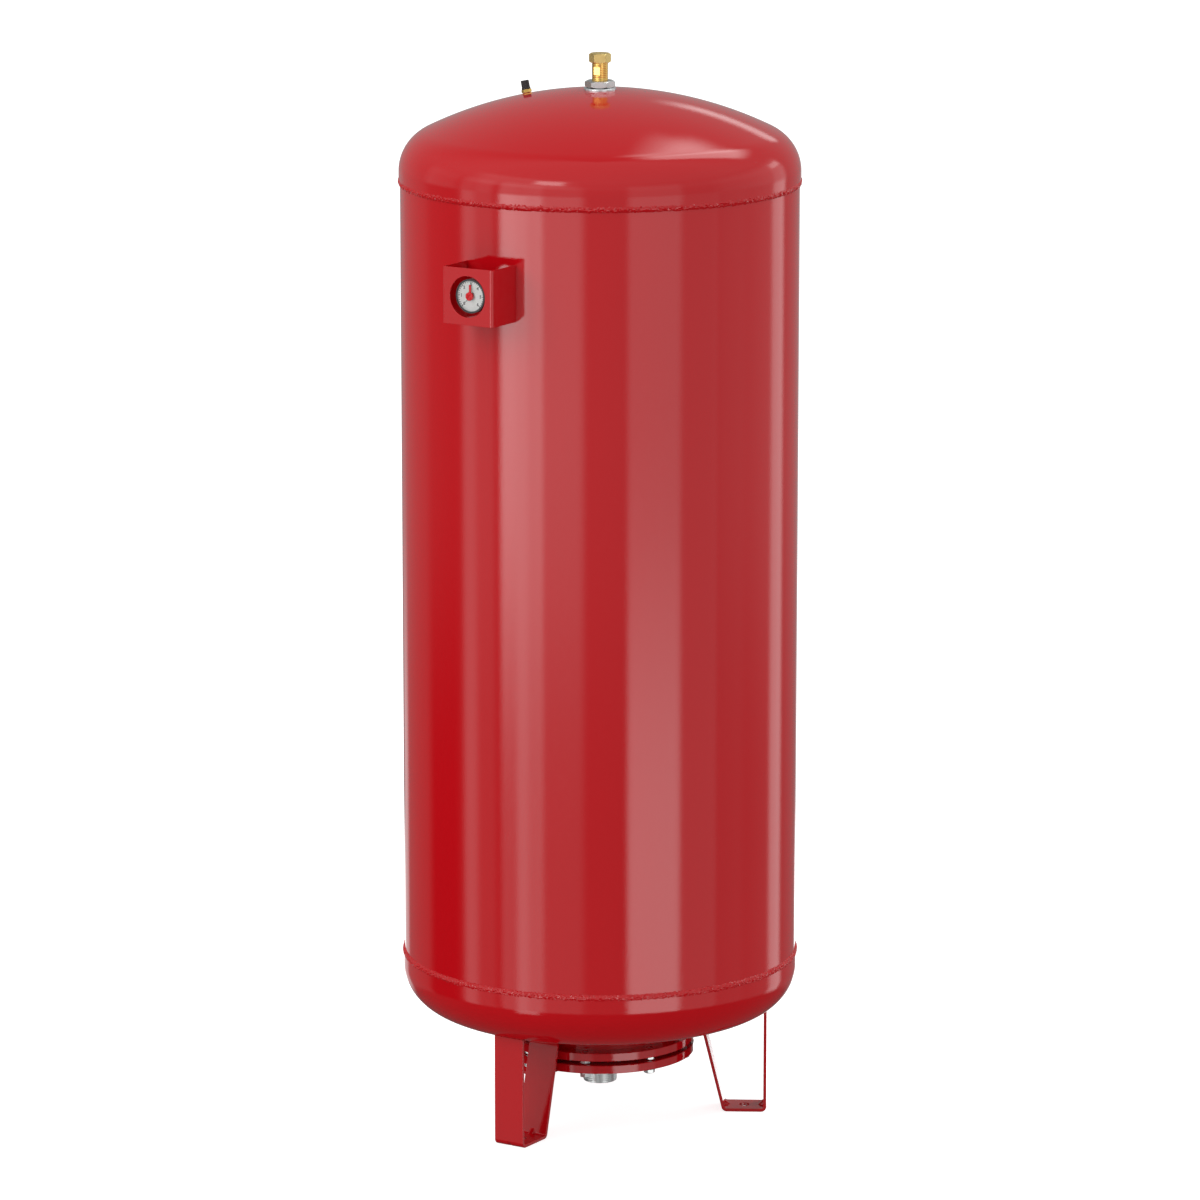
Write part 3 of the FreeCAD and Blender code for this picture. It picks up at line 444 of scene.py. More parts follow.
def turned_tree():
    """Turns a closed section about the vessel's axis."""
    tree, given, end = shape_tree("turned_about_the_axis", {
        "Path Radius": "Float", "Segments": "Int", "Material": "Material",
    })
    inward = maths(tree, "SUBTRACT", 0.0, given["Path Radius"])
    moved = add(tree, "GeometryNodeTransform", {
        "Geometry": given["Geometry"], "Translation": vector(tree, inward),
    })
    section = add(tree, "GeometryNodeMeshToCurve", {"Mesh": moved.outputs[0]})
    path = add(tree, "GeometryNodeCurvePrimitiveCircle", {
        "Radius": given["Path Radius"], "Resolution": given["Segments"],
    })
    swept = add(tree, "GeometryNodeCurveToMesh", {
        "Curve": path.outputs["Curve"], "Profile Curve": section.outputs[0],
    })
    merged = add(tree, "GeometryNodeMergeByDistance", {"Geometry": swept.outputs[0], "Distance": SAME_PLACE})
    return close_tree(tree, given, end, merged)


def bead_tree():
    """Lays a rippled round bead along a path."""
    tree, given, end = shape_tree("weld_bead_along_a_path", {
        "Bead Radius": "Float", "Step": "Float", "Ripple": "Float", "Ripple Depth": "Float",
        "Seed": "Float", "Material": "Material",
    })
    line = add(tree, "GeometryNodeMeshToCurve", {"Mesh": given["Geometry"]})
    path = add(tree, "GeometryNodeResampleCurve", {
        "Curve": line.outputs[0], "Length": given["Step"],
    }, mode="LENGTH")
    section = add(tree, "GeometryNodeCurvePrimitiveCircle", {
        "Radius": given["Bead Radius"], "Resolution": BEAD_SECTION_POINTS,
    })
    swept = add(tree, "GeometryNodeCurveToMesh", {
        "Curve": path.outputs[0], "Profile Curve": section.outputs[0], "Fill Caps": True,
    })
    # Ripples: small lumps of the frozen pool, none higher than the bead's own round
    place = add(tree, "GeometryNodeInputPosition")
    lumps = add(tree, "ShaderNodeTexNoise", {
        "Vector": place.outputs[0], "W": given["Seed"], "Scale": maths(tree, "DIVIDE", 1.0, given["Ripple"]),
        "Detail": 2.5,
    }, noise_dimensions="4D")
    capped = maths(tree, "MINIMUM", lumps.outputs["Fac"], HIGHEST_LUMP)
    height = maths(tree, "SUBTRACT", capped, HIGHEST_LUMP)
    depth = maths(tree, "MULTIPLY", height, given["Ripple Depth"])
    normal = add(tree, "GeometryNodeInputNormal")
    offset = add(tree, "ShaderNodeVectorMath", {
        0: normal.outputs["Normal"], "Scale": depth,
    }, operation="SCALE")
    rippled = add(tree, "GeometryNodeSetPosition", {
        "Geometry": swept.outputs[0], "Offset": offset.outputs[0],
    })
    return close_tree(tree, given, end, rippled)


def thread_tree():
    """Wraps a sheet round the vessel's axis into a right-handed thread that runs out at both ends."""
    tree, given, end = shape_tree("screw_thread", {
        "Outer Radius": "Float", "Depth": "Float", "Pitch": "Float", "Low": "Float", "Length": "Float",
        "Segments": "Int", "Material": "Material",
    })
    turns = maths(tree, "DIVIDE", given["Length"], given["Pitch"])
    more = maths(tree, "ADD", maths(tree, "CEIL", turns), 1.0)
    sheet = add(tree, "GeometryNodeMeshGrid", {
        "Size X": 1.0, "Size Y": more,
        "Vertices X": maths(tree, "ADD", given["Segments"], 1.0),
        "Vertices Y": maths(tree, "MULTIPLY_ADD", more, ROWS_PER_TURN, 1.0),
    })
    place = add(tree, "ShaderNodeSeparateXYZ", {0: add(tree, "GeometryNodeInputPosition").outputs[0]})
    turn = maths(tree, "ADD", place.outputs["X"], 0.5)
    row = maths(tree, "ADD", place.outputs["Y"], maths(tree, "DIVIDE", more, 2.0))
    # Height in turns: each row climbs one pitch in a full turn, and starts one pitch early
    early = maths(tree, "SUBTRACT", maths(tree, "ADD", row, turn), 1.0)
    rise = add(tree, "ShaderNodeClamp", {"Value": early, "Min": 0.0, "Max": turns}).outputs[0]
    # Tooth: a straight-sided ridge once in each pitch, fading in the first and the last turn
    tooth = maths(tree, "MULTIPLY", maths(tree, "PINGPONG", row, 0.5), 2.0)
    near = maths(tree, "MINIMUM", maths(tree, "SUBTRACT", turns, rise), rise)
    fade = add(tree, "ShaderNodeClamp", {"Value": near, "Min": 0.0, "Max": 1.0}).outputs[0]
    crest = maths(tree, "MULTIPLY", tooth, fade)
    root = maths(tree, "SUBTRACT", given["Outer Radius"], given["Depth"])
    radius = maths(tree, "MULTIPLY_ADD", crest, given["Depth"], root)
    angle = maths(tree, "MULTIPLY", turn, math.tau)
    x = maths(tree, "MULTIPLY", maths(tree, "COSINE", angle), radius)
    y = maths(tree, "MULTIPLY", maths(tree, "SINE", angle), radius)
    z = maths(tree, "MULTIPLY_ADD", rise, given["Pitch"], given["Low"])
    wrapped = add(tree, "GeometryNodeSetPosition", {
        "Geometry": sheet.outputs["Mesh"], "Position": vector(tree, x, y, z),
    })
    merged = add(tree, "GeometryNodeMergeByDistance", {
        "Geometry": wrapped.outputs[0], "Distance": 2 * SAME_PLACE,
    })
    joined = add(tree, "GeometryNodeJoinGeometry", {0: merged.outputs[0]})
    tree.links.new(given["Geometry"], joined.inputs[0])
    return close_tree(tree, given, end, joined)


def ring_tree():
    """Repeats a piece at even turns about an axis through a pivot."""
    tree, given, end = shape_tree("copies_round_an_axis", {
        "Count": "Int", "First": "Float", "Step": "Float", "Axis": "Vector", "Pivot": "Vector",
        "Material": "Material",
    })
    one = add(tree, "GeometryNodeGeometryToInstance", {"Geometry": given["Geometry"]})
    copies = add(tree, "GeometryNodeDuplicateElements", {
        "Geometry": one.outputs[0], "Amount": given["Count"],
    }, domain="INSTANCE")
    angle = maths(tree, "MULTIPLY_ADD", copies.outputs["Duplicate Index"], given["Step"], given["First"])
    turn = add(tree, "FunctionNodeAxisAngleToRotation", {"Axis": given["Axis"], "Angle": angle})
    placed = add(tree, "GeometryNodeRotateInstances", {
        "Instances": copies.outputs["Geometry"], "Rotation": turn.outputs[0],
        "Pivot Point": given["Pivot"], "Local Space": False,
    })
    return close_tree(tree, given, end, placed)


def flats_tree():
    """Cuts two opposite spanner flats on an upright round piece between two heights."""
    tree, given, end = shape_tree("two_spanner_flats", {
        "Azimuth": "Float", "Half Width": "Float", "Low": "Float", "High": "Float", "Material": "Material",
    })
    back = maths(tree, "MULTIPLY", maths(tree, "COSINE", given["Azimuth"]), -1.0)
    facing = vector(tree, maths(tree, "SINE", given["Azimuth"]), back)
    place = add(tree, "GeometryNodeInputPosition").outputs[0]
    height = add(tree, "ShaderNodeSeparateXYZ", {0: place}).outputs["Z"]
    reach = dot(tree, place, facing)
    over = maths(tree, "SUBTRACT", maths(tree, "ABSOLUTE", reach), given["Half Width"])
    inward = maths(tree, "MULTIPLY", maths(tree, "MAXIMUM", over, 0.0), maths(tree, "SIGN", reach))
    offset = add(tree, "ShaderNodeVectorMath", {
        0: facing, "Scale": maths(tree, "MULTIPLY", inward, -1.0),
    }, operation="SCALE")
    above = add(tree, "FunctionNodeCompare", {"A": height, "B": given["Low"]}, operation="GREATER_EQUAL")
    below = add(tree, "FunctionNodeCompare", {"A": height, "B": given["High"]}, operation="LESS_EQUAL")
    within = add(tree, "FunctionNodeBooleanMath", {
        0: above.outputs[0], 1: below.outputs[0],
    }, operation="AND")
    cut = add(tree, "GeometryNodeSetPosition", {
        "Geometry": given["Geometry"], "Selection": within.outputs[0], "Offset": offset.outputs[0],
    })
    return close_tree(tree, given, end, cut)


turned_shape = turned_tree()
weld_bead = bead_tree()
screw_thread = thread_tree()
copies_round = ring_tree()
spanner_flats = flats_tree()


def turned(name, section, material, segments=TURNS_SEGMENTS):
    """Piece of revolution from a closed section of (radius, height), listed down its outer side first."""
    points = [(radius, -z, 0.0) for radius, z in section]
    edges = [(i, (i + 1) % len(points)) for i in range(len(points))]
    obj = mesh_object(name, points, edges, [])
    return shaped(obj, turned_shape, {
        "Path Radius": SWEEP_RADIUS, "Segments": segments, "Material": material,
    })


def bead_radius(width, proud):
    """Radius of a round bead that shows a width and stands proud by a height."""
    return (width ** 2 / 4 + proud ** 2) / (2 * proud)


def bead(name, path, closed, radius, lumps, seed):
    """Weld bead round a path that lies under the surface, so that only the bead's cap shows."""
    count = len(path)
    edges = [(i, (i + 1) % count) for i in range(count if closed else count - 1)]
    obj = mesh_object(name, path, edges, [])
    return shaped(obj, weld_bead, {
        "Bead Radius": radius, "Step": BEAD_STEP, "Ripple": RIPPLE, "Ripple Depth": lumps,
        "Seed": seed, "Material": coating,
    })


# Shell


def dished_section(out_r, crown_r, knuckle_r, skirt, hole_r, rings):
    """Points of a dished head's outer surface from its hole down to its skirt's edge at height 0."""
    half = math.asin((out_r - knuckle_r) / (crown_r - knuckle_r))
    centre_z = skirt - (crown_r - knuckle_r) * math.cos(half)
    first = math.asin(hole_r / crown_r)
    points = []
    for i in range(rings + 1):
        turn = first + (half - first) * i / rings
        points.append((crown_r * math.sin(turn), centre_z + crown_r * math.cos(turn)))
    for i in range(1, rings + 1):
        turn = half + (math.pi / 2 - half) * i / rings
        points.append((out_r - knuckle_r + knuckle_r * math.sin(turn), skirt + knuckle_r * math.cos(turn)))
    points.append((out_r, 0.0))
    return points


def head_section(crown_r, knuckle_r, skirt, hole_r):
    """Closed section of a head with its wall, dome upwards."""
    outside = dished_section(HEAD_R, crown_r, knuckle_r, skirt, hole_r, OUTSIDE_RINGS)
    inside = dished_section(
        HEAD_R - HEAD_WALL, crown_r - HEAD_WALL, knuckle_r - HEAD_WALL, skirt, hole_r, INSIDE_RINGS
    )
    return outside + inside[::-1]


def on_top_head():
    """Turns from upright at the axis to square on the top head, at the gas valve's place."""
    tilt = math.asin(VALVE_R / TOP_CROWN_R)
    height = TOP_APEX_Z - TOP_CROWN_R + math.sqrt(TOP_CROWN_R ** 2 - VALVE_R ** 2)
    place = Matrix.Translation(on_axis(VALVE_AZIMUTH, VALVE_R, height))
    return place @ Matrix.Rotation(math.radians(VALVE_AZIMUTH), 4, "Z") @ Matrix.Rotation(tilt, 4, "X")


def build_heads():
    """Top head with the hole for the gas valve's socket, bottom head, and the barrel between."""
    section = head_section(TOP_CROWN_R, TOP_KNUCKLE_R, TOP_SKIRT, STEM_HOLE_R)
    top = turned("top_head_shell", [(r, UPPER_WELD_Z + z) for r, z in section], coating, SHELL_SEGMENTS)
    cut_with(top, rod(
        "socket_hole_rod", VALVE_SOCKET_R, SOCKET_HOLE_LENGTH, SOCKET_HOLE_SEGMENTS, on_top_head(),
    ))
    piece(top, "tank", "top_head", "top_head")
    section = head_section(BOTTOM_CROWN_R, BOTTOM_KNUCKLE_R, BOTTOM_SKIRT, NECK_HOLE_R)
    low = [(r, LOWER_WELD_Z - z) for r, z in section[::-1]]
    piece(turned("bottom_head_shell", low, coating, SHELL_SEGMENTS), "tank", "bottom_head", "bottom_head")
    inner_r = SHELL_R - BARREL_WALL
    barrel = turned("barrel_shell", [
        (SHELL_R, barrel_high.z), (SHELL_R, barrel_low.z), (inner_r, barrel_low.z), (inner_r, barrel_high.z),
    ], coating, SHELL_SEGMENTS)
    piece(barrel, "tank", "shell_barrel", "shell_barrel")


def build_welds():
    """Both girth welds and the barrel's seam at the back."""
    radius = bead_radius(GIRTH_BEAD_WIDTH, GIRTH_BEAD_PROUD)
    path_r = HEAD_R + GIRTH_BEAD_PROUD - radius
    for name, node, z, seed in (
        ("upper_weld_bead", "upper_girth_weld", UPPER_WELD_Z - BEAD_SHIFT, 1.0),
        ("lower_weld_bead", "lower_girth_weld", LOWER_WELD_Z + BEAD_SHIFT, 2.0),
    ):
        circle = [on_axis(360.0 * i / GIRTH_POINTS, path_r, z) for i in range(GIRTH_POINTS)]
        piece(bead(name, circle, True, radius, GIRTH_LUMPS, seed), "tank", node, node)
    radius = bead_radius(SEAM_BEAD_WIDTH, SEAM_BEAD_PROUD)
    low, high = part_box("barrel_seam_weld")
    line = [on_axis(180.0, SHELL_R + SEAM_BEAD_PROUD - radius, z) for z in (low.z, high.z)]
    seam = bead("seam_weld_bead", line, False, radius, SEAM_LUMPS, 3.0)
    piece(seam, "tank", "barrel_seam_weld", "barrel_seam_weld")


# Bottom flange and water nozzle


def build_nozzle():
    """Water nozzle: plated pipe with its thread, root and bore."""
    low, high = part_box("water_nozzle")
    root_r = high.x - PIPE_THREAD_DEPTH
    thread_low = low.z + NOZZLE_EDGE
    pipe = turned("threaded_water_nozzle", [
        (root_r, high.z), (root_r, thread_low), (root_r - NOZZLE_EDGE, low.z),
        (NOZZLE_BORE_R, low.z), (NOZZLE_BORE_R, high.z),
    ], zinc, SMALL_SEGMENTS)
    shaped(pipe, screw_thread, {
        "Outer Radius": high.x, "Depth": PIPE_THREAD_DEPTH, "Pitch": PIPE_PITCH, "Low": thread_low,
        "Length": NOZZLE_THREAD_TOP - NOZZLE_EDGE, "Segments": SMALL_SEGMENTS, "Material": zinc,
    })
    piece(pipe, "tank", "water_nozzle", "water_nozzle")


def bolt_holes(radius, low, high):
    """Cutter with a rod at every bolt's place."""
    middle = on_axis(BOLT_FIRST_AZIMUTH, BOLT_CIRCLE_R, (low + high) / 2)
    obj = rod("bolt_hole_rod", radius, high - low + 2 * MM, BOLT_HOLE_SEGMENTS, Matrix.Translation(middle))
    return shaped(obj, copies_round, {
        "Count": BOLT_COUNT, "First": 0.0, "Step": math.tau / BOLT_COUNT,
        "Axis": (0.0, 0.0, 1.0), "Pivot": (0.0, 0.0, 0.0), "Material": coating,
    })


def drilled_plate(name, node, bore_r, hole_r):
    """Round flange plate with its chamfered rims, bore and bolt holes."""
    low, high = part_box(node)
    rim = high.x
    plate = turned(name, [
        (rim - PLATE_EDGE, high.z), (rim, high.z - PLATE_EDGE), (rim, low.z + PLATE_EDGE),
        (rim - PLATE_EDGE, low.z), (bore_r, low.z), (bore_r, high.z),
    ], coating)
    cut_with(plate, bolt_holes(hole_r, low.z, high.z))
    piece(plate, "tank", node, node)


def build_flange():
    """Neck and the two flange plates."""
    low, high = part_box("neck_ring")
    inner_r = high.x - NECK_WALL
    neck = [(high.x, high.z), (high.x, low.z), (inner_r, low.z), (inner_r, high.z)]
    piece(turned("neck_pipe", neck, coating), "tank", "neck_ring", "neck_ring")
    drilled_plate("upper_flange_plate", "flange_ring", RING_BORE_R, BOLT_HOLE_R)
    drilled_plate("lower_flange_plate", "flange_cover", NOZZLE_SEAT_R, COVER_HOLE_R)


# Vent


def build_vent_washer():
    """Washer with a rounded rim and an underside that fits the dome."""
    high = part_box("vent_washer")[1]
    rim = high.x
    centre_z = TOP_APEX_Z - TOP_CROWN_R
    washer = []
    for i in range(WASHER_STEPS + 1):
        turn = math.pi / 2 * i / WASHER_STEPS
        washer.append((
            rim - WASHER_ROUND * (1 - math.sin(turn)), high.z - WASHER_ROUND * (1 - math.cos(turn)),
        ))
    for i in range(WASHER_STEPS + 1):
        radius = rim - (rim - STEM_HOLE_R) * i / WASHER_STEPS
        washer.append((radius, centre_z + math.sqrt(TOP_CROWN_R ** 2 - radius ** 2)))
    washer.append((STEM_HOLE_R, high.z))
    obj = turned("vent_seat_washer", washer, turned_zinc, SMALL_SEGMENTS)
    piece(obj, "tank", "vent_washer", "vent_washer")


def build_vent_stem():
    """Threaded stem with its two spanner flats, held under the head by its flange."""
    low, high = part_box("vent_stem")
    nut_low, nut_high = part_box("vent_nut")
    root = STEM_R - STEM_THREAD_DEPTH
    core_r = FLAT_HALF_WIDTH - CORE_CLEARANCE
    collar_low = high.z - STEM_COLLAR
    flat_low = nut_high.z + FLAT_ABOVE_NUT
    flange_top = low.z + STEM_FLANGE_THICKNESS
    stem = turned("threaded_vent_stem", [
        (root, high.z), (root, collar_low), (core_r, collar_low), (core_r, nut_low.z),
        (STEM_R, nut_low.z), (STEM_R, flange_top), (STEM_FLANGE_R, flange_top),
        (STEM_FLANGE_R, low.z), (STEM_BORE_R, low.z), (STEM_BORE_R, high.z),
    ], brass, SMALL_SEGMENTS)
    shaped(stem, screw_thread, {
        "Outer Radius": STEM_R, "Depth": STEM_THREAD_DEPTH, "Pitch": STEM_PITCH, "Low": nut_low.z,
        "Length": high.z - nut_low.z, "Segments": SMALL_SEGMENTS, "Material": brass,
    })
    shaped(stem, spanner_flats, {
        "Azimuth": math.radians(FLAT_AZIMUTH), "Half Width": FLAT_HALF_WIDTH,
        "Low": flat_low, "High": flat_low + FLAT_HEIGHT, "Material": brass,
    })
    piece(stem, "tank", "vent_stem", "vent_stem")


# Gas valve


def build_valve_cap():
    """Ribbed dust cap, set square on the top head."""
    high = VALVE_CAP_LOW + VALVE_CAP_HEIGHT
    collar_top = VALVE_CAP_LOW + VALVE_COLLAR_HEIGHT
    side_low, side_high = collar_top + VALVE_CAP_EDGE, high - VALVE_CAP_EDGE
    cap = turned("ribbed_dust_cap", [
        (0.0, high), (VALVE_CAP_R - VALVE_CAP_EDGE, high), (VALVE_CAP_R, side_high),
        (VALVE_CAP_R, side_low), (VALVE_COLLAR_R, collar_top), (VALVE_COLLAR_R, VALVE_CAP_LOW),
        (VALVE_RECESS_R, VALVE_CAP_LOW), (VALVE_RECESS_R, high - VALVE_CAP_TOP_WALL),
        (0.0, high - VALVE_CAP_TOP_WALL),
    ], cap_plastic, CAP_RIBS * POINTS_PER_RIB)
    for vertex in cap.data.vertices:
        point = vertex.co
        radius = math.hypot(point.x, point.y)
        beside = side_low - SAME_PLACE < point.z < side_high + SAME_PLACE
        if beside and radius > VALVE_CAP_R - 10 * SAME_PLACE:
            wave = 0.5 - 0.5 * math.cos(CAP_RIBS * math.atan2(point.y, point.x))
            point.xy *= (radius - CAP_RIB_DEPTH * wave) / radius
    cap.data.transform(on_top_head())
    piece(cap, "tank", "gas_valve_cap", "gas_valve_cap")


def build_valve_spring():
    """Valve spring, copied in place from the imported part; its foot stays on the guide."""
    spring = merged_copy("coiled_valve_spring", "gas_valve_spring", spring_steel)
    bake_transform(spring)
    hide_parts("gas_valve_spring")


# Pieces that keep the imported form, with rounded edges


def merged_copy(name, node, material):
    """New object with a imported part's mesh, its split corners joined and its flat faces whole."""
    work = bmesh.new()
    work.from_mesh(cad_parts[node].data)
    bmesh.ops.remove_doubles(work, verts=work.verts, dist=SAME_PLACE)
    bmesh.ops.dissolve_limit(
        work, angle_limit=FLAT_WITHIN, verts=work.verts, edges=work.edges, delimit={"NORMAL"}
    )
    return object_from(work, name, material)


def edged(node, name, body, material, edge):
    """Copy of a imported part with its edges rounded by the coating, the die or the tool."""
    obj = merged_copy(name, node, material)
    rounding = obj.modifiers.new("rounded_edges", "BEVEL")
    rounding.width = edge
    rounding.segments = EDGE_SEGMENTS
    rounding.limit_method = "ANGLE"
    rounding.angle_limit = SHARP_ANGLE
    rounding.use_clamp_overlap = False
    rounding.miter_outer = "MITER_ARC"
    plain_mesh(obj)
    keep_inside(obj.data, *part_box(node))
    # Large flat faces keep their own normals beside the rounds and bends
    flat_faces = obj.modifiers.new("flat_faces", "WEIGHTED_NORMAL")
    flat_faces.keep_sharp = True
    return piece(baked(obj), body, node, node)


def keep_inside(mesh, low, high):
    """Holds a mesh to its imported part's box, where a rounded corner would pass it by a hair."""
    for vertex in mesh.vertices:
        for axis in range(3):
            vertex.co[axis] = min(max(vertex.co[axis], low[axis]), high[axis])


def build_edged_parts():
    """Folded sheets, hexagons and gauge parts with their edges rounded."""
    for node, name, material, edge in (
        ("foot_front", "folded_front_foot", coating, 0.7 * MM),
        ("foot_right", "folded_right_foot", coating, 0.7 * MM),
        ("foot_left", "folded_left_foot", coating, 0.7 * MM),
        ("gauge_guard", "folded_gauge_guard", coating, 0.5 * MM),
        ("flange_bolts", "hexagon_flange_bolts", zinc, 0.35 * MM),
        ("flange_washers", "plain_flange_washers", zinc, 0.3 * MM),
        ("flange_nuts", "weld_nuts", zinc, 0.35 * MM),
        ("vent_nut", "vent_hexagon_nut", zinc, 0.2 * MM),
        ("vent_cap", "vent_hexagon_cap", blasted_brass, 0.2 * MM),
        ("gas_valve_body", "gas_valve_hexagon_body", brass, 0.15 * MM),
        ("gauge_case", "gauge_housing", case_enamel, 0.3 * MM),
    ):
        edged(node, name, "tank", material, edge)
    edged("gauge_set_marker", "set_marker_knob", "set_marker", marker_plastic, 0.2 * MM)


# Dial


def dial_point(angle, radius, depth=0.0):
    """Point over the dial: the angle runs clockwise from the top as the reader sees it."""
    turn = math.radians(angle)
    return Vector((radius * math.sin(turn), DIAL_FRONT_Y - depth, GAUGE_Z + radius * math.cos(turn)))


def dial_bar(name, width, outer_r, length):
    """Thin printed bar on the dial at the top, ready to be repeated round it."""
    half, inner_r = width / 2, outer_r - length
    corners = [(-half, inner_r), (half, inner_r), (half, outer_r), (-half, outer_r)]
    front = [(x, DIAL_FRONT_Y - PRINT_HEIGHT, GAUGE_Z + z) for x, z in corners]
    back = [(x, DIAL_FRONT_Y, GAUGE_Z + z) for x, z in corners]
    sides = [(i, (i + 1) % 4, 4 + (i + 1) % 4, 4 + i) for i in range(4)]
    obj = mesh_object(name, front + back, [], [(3, 2, 1, 0), (4, 5, 6, 7)] + sides)
    outward(obj)
    return obj


def outward(obj):
    """Turns every face of a closed mesh outwards."""
    work = bmesh.new()
    work.from_mesh(obj.data)
    bmesh.ops.recalc_face_normals(work, faces=work.faces)
    work.to_mesh(obj.data)
    work.free()


def build_marks(name, width, length, steps):
    """One scale mark repeated over the dial's sweep."""
    marks = shaped(dial_bar(name, width, TICK_OUTER_R, length), copies_round, {
        "Count": steps + 1, "First": math.radians(-SCALE_SWEEP / 2),
        "Step": math.radians(SCALE_SWEEP / steps), "Axis": (0.0, 1.0, 0.0),
        "Pivot": Vector((0.0, DIAL_FRONT_Y, GAUGE_Z)), "Material": dial_ink,
    })
    piece(marks, "tank", "gauge_dial")


def build_dial():
    """Scale marks and plain numerals over the dial plate."""
    last = NUMERAL_COUNT - 1
    build_marks("fine_scale_marks", TICK_WIDTH, TICK_LENGTH, SCALE_STEPS)
    build_marks("bold_scale_marks", MAJOR_WIDTH, MAJOR_LENGTH, last)
    work = bmesh.new()
    for value in range(NUMERAL_COUNT):
        angle = SCALE_SWEEP * (value / last - 0.5)
        work.from_mesh(numeral(str(value), dial_point(angle, NUMERAL_R, PRINT_HEIGHT)))
    piece(object_from(work, "dial_numerals", dial_ink), "tank", "gauge_dial")


def numeral(text, centre):
    """Mesh of one upright figure that faces the front, centred on a point."""
    curve = bpy.data.curves.new("figure", "FONT")
    curve.body = text
    curve.size = NUMERAL_SIZE
    curve.align_x = "CENTER"
    curve.align_y = "CENTER"
    curve.offset = NUMERAL_WEIGHT
    obj = new_object("figure", curve)
    graph = bpy.context.evaluated_depsgraph_get()
    mesh = bpy.data.meshes.new_from_object(obj.evaluated_get(graph))
    bpy.data.objects.remove(obj)
    mesh.transform(Matrix.Translation(centre) @ Matrix.Rotation(math.pi / 2, 4, "X"))
    return mesh


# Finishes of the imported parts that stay


def dress_packed_parts():
    """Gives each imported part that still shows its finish."""
    finishes = {
        coating: [
            "shell_barrel", "top_head", "bottom_head", "upper_girth_weld", "lower_girth_weld",
            "barrel_seam_weld", "neck_ring", "flange_ring", "flange_cover",
            "foot_front", "foot_right", "foot_left", "gas_valve_boss", "gauge_guard", "gauge_socket",
        ],
        zinc: [
            "flange_bolts", "flange_washers", "flange_nuts", "water_nozzle",
            "bladder_clamp_washer", "vent_washer", "vent_nut",
        ],
        brass: [
            "vent_stem", "vent_cap", "gas_valve_body", "gas_valve_pin",
            "gauge_stem", "gauge_bourdon_tube", "gauge_movement",
        ],
        spring_steel: ["gas_valve_spring"],
        cap_plastic: ["gas_valve_cap"],
        butyl: ["bladder", "vent_gasket"],
        case_enamel: ["gauge_case"],
        dial_enamel: ["gauge_dial"],
        dial_ink: ["gauge_pointer"],
        marker_plastic: ["gauge_set_marker"],
        window_glass: ["gauge_glass"],
    }
    for material, nodes in finishes.items():
        for name in nodes:
            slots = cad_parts[name].data.materials
            slots.clear()
            slots.append(material)


# Studio


CAMERA_AZIMUTH = 32.4
CAMERA_DISTANCE = 11.674
CAMERA_HEIGHT = 3.481
CAMERA_PITCH = 12.002
CAMERA_LENS = 188.33
CAMERA_REACH = 200.0
WHITE = (1.0, 1.0, 1.0, 1.0)
SKY_LEVEL = 0.88
FLOOR_GLOW = 0.82
# Each soft lamp has its azimuth from the camera and its power
SOFT_LAMPS = {
    "key_softbox": (-55.0, 95.0),
    "left_rim_softbox": (-125.0, 40.0),
    "right_rim_softbox": (125.0, 105.0),
}
SOFT_LAMP_SIZE = 3.5
SOFT_LAMP_DISTANCE = 5.5
SOFT_LAMP_HEIGHT = 4.2
SOFT_LAMP_TARGET = (0.0, 0.0, 1.0)

# Light tent that shows in the gloss, by azimuth from the camera and elevation, in degrees.
# Each wall panel has its middle, half width, soft edge, and its levels at three heights:
# below the vessel's eye line, along it, and above it.
WALL_PANELS = {
    "back panel": (176.0, 9.0, 4.0, (0.5, 0.2, 0.0)),
    "left rear panel": (-159.0, 6.0, 3.0, (0.55, 0.05, 0.0)),
    "left side cloth": (-103.0, 14.0, 5.0, (-0.2, -0.1, 0.23)),
    "left rim panel": (-80.5, 5.0, 3.0, (1.04, 1.0, 0.5)),
    "left rim cloth": (-69.0, 6.0, 3.0, (0.3, 0.56, 0.65)),
    "left window outside": (-54.0, 5.0, 2.0, (0.8, 4.1, 1.2)),
    "left window middle": (-45.5, 3.5, 2.0, (2.1, 3.7, 1.05)),
    "left window inside": (-37.5, 4.5, 2.0, (1.5, 3.05, 1.1)),
    "left sheet": (-21.5, 12.0, 3.0, (0.5, 1.4, 0.65)),
    "front cloth": (3.5, 12.5, 3.0, (0.1, 0.28, 0.25)),
    "right sheet": (31.5, 15.5, 2.0, (2.95, 1.2, 0.66)),
    "right wall": (59.0, 12.0, 2.0, (0.53, 0.46, 0.28)),
    "right far wall": (81.0, 10.0, 4.0, (0.23, 0.38, 0.42)),
    "right rear wall": (104.0, 13.0, 4.0, (0.13, 0.3, 0.42)),
    "right rim panel": (124.0, 7.0, 3.0, (1.35, 1.3, 0.65)),
}
# Each hung lamp has its azimuth, half width, elevation, half height and level
HUNG_LAMPS = {
    "back softbox": (133.0, 14.0, 58.0, 16.0, 2.7),
    "back softbox side": (152.5, 10.8, 57.0, 12.5, 1.4),
    "back softbox spill": (157.5, 11.0, 60.0, 12.0, 0.85),
    "back strip": (166.5, 7.5, 21.2, 2.3, 1.05),
    "back floor strip": (180.0, 14.0, -15.6, 2.2, 1.6),
    "right rim spot": (124.5, 5.0, 18.5, 3.0, 1.1),
    "left spot": (-30.5, 8.5, 29.5, 4.4, 3.8),
    "left floor strip": (-44.0, 7.0, -25.0, 4.0, 2.2),
    "left ceiling": (-48.0, 30.0, 27.0, 10.0, 0.5),
    "front ceiling": (2.0, 112.0, 62.0, 40.0, 0.42),
}
LAMP_SOFTNESS = 0.3
CLOTH_LEVELS = (0.12, 0.2, 0.23)
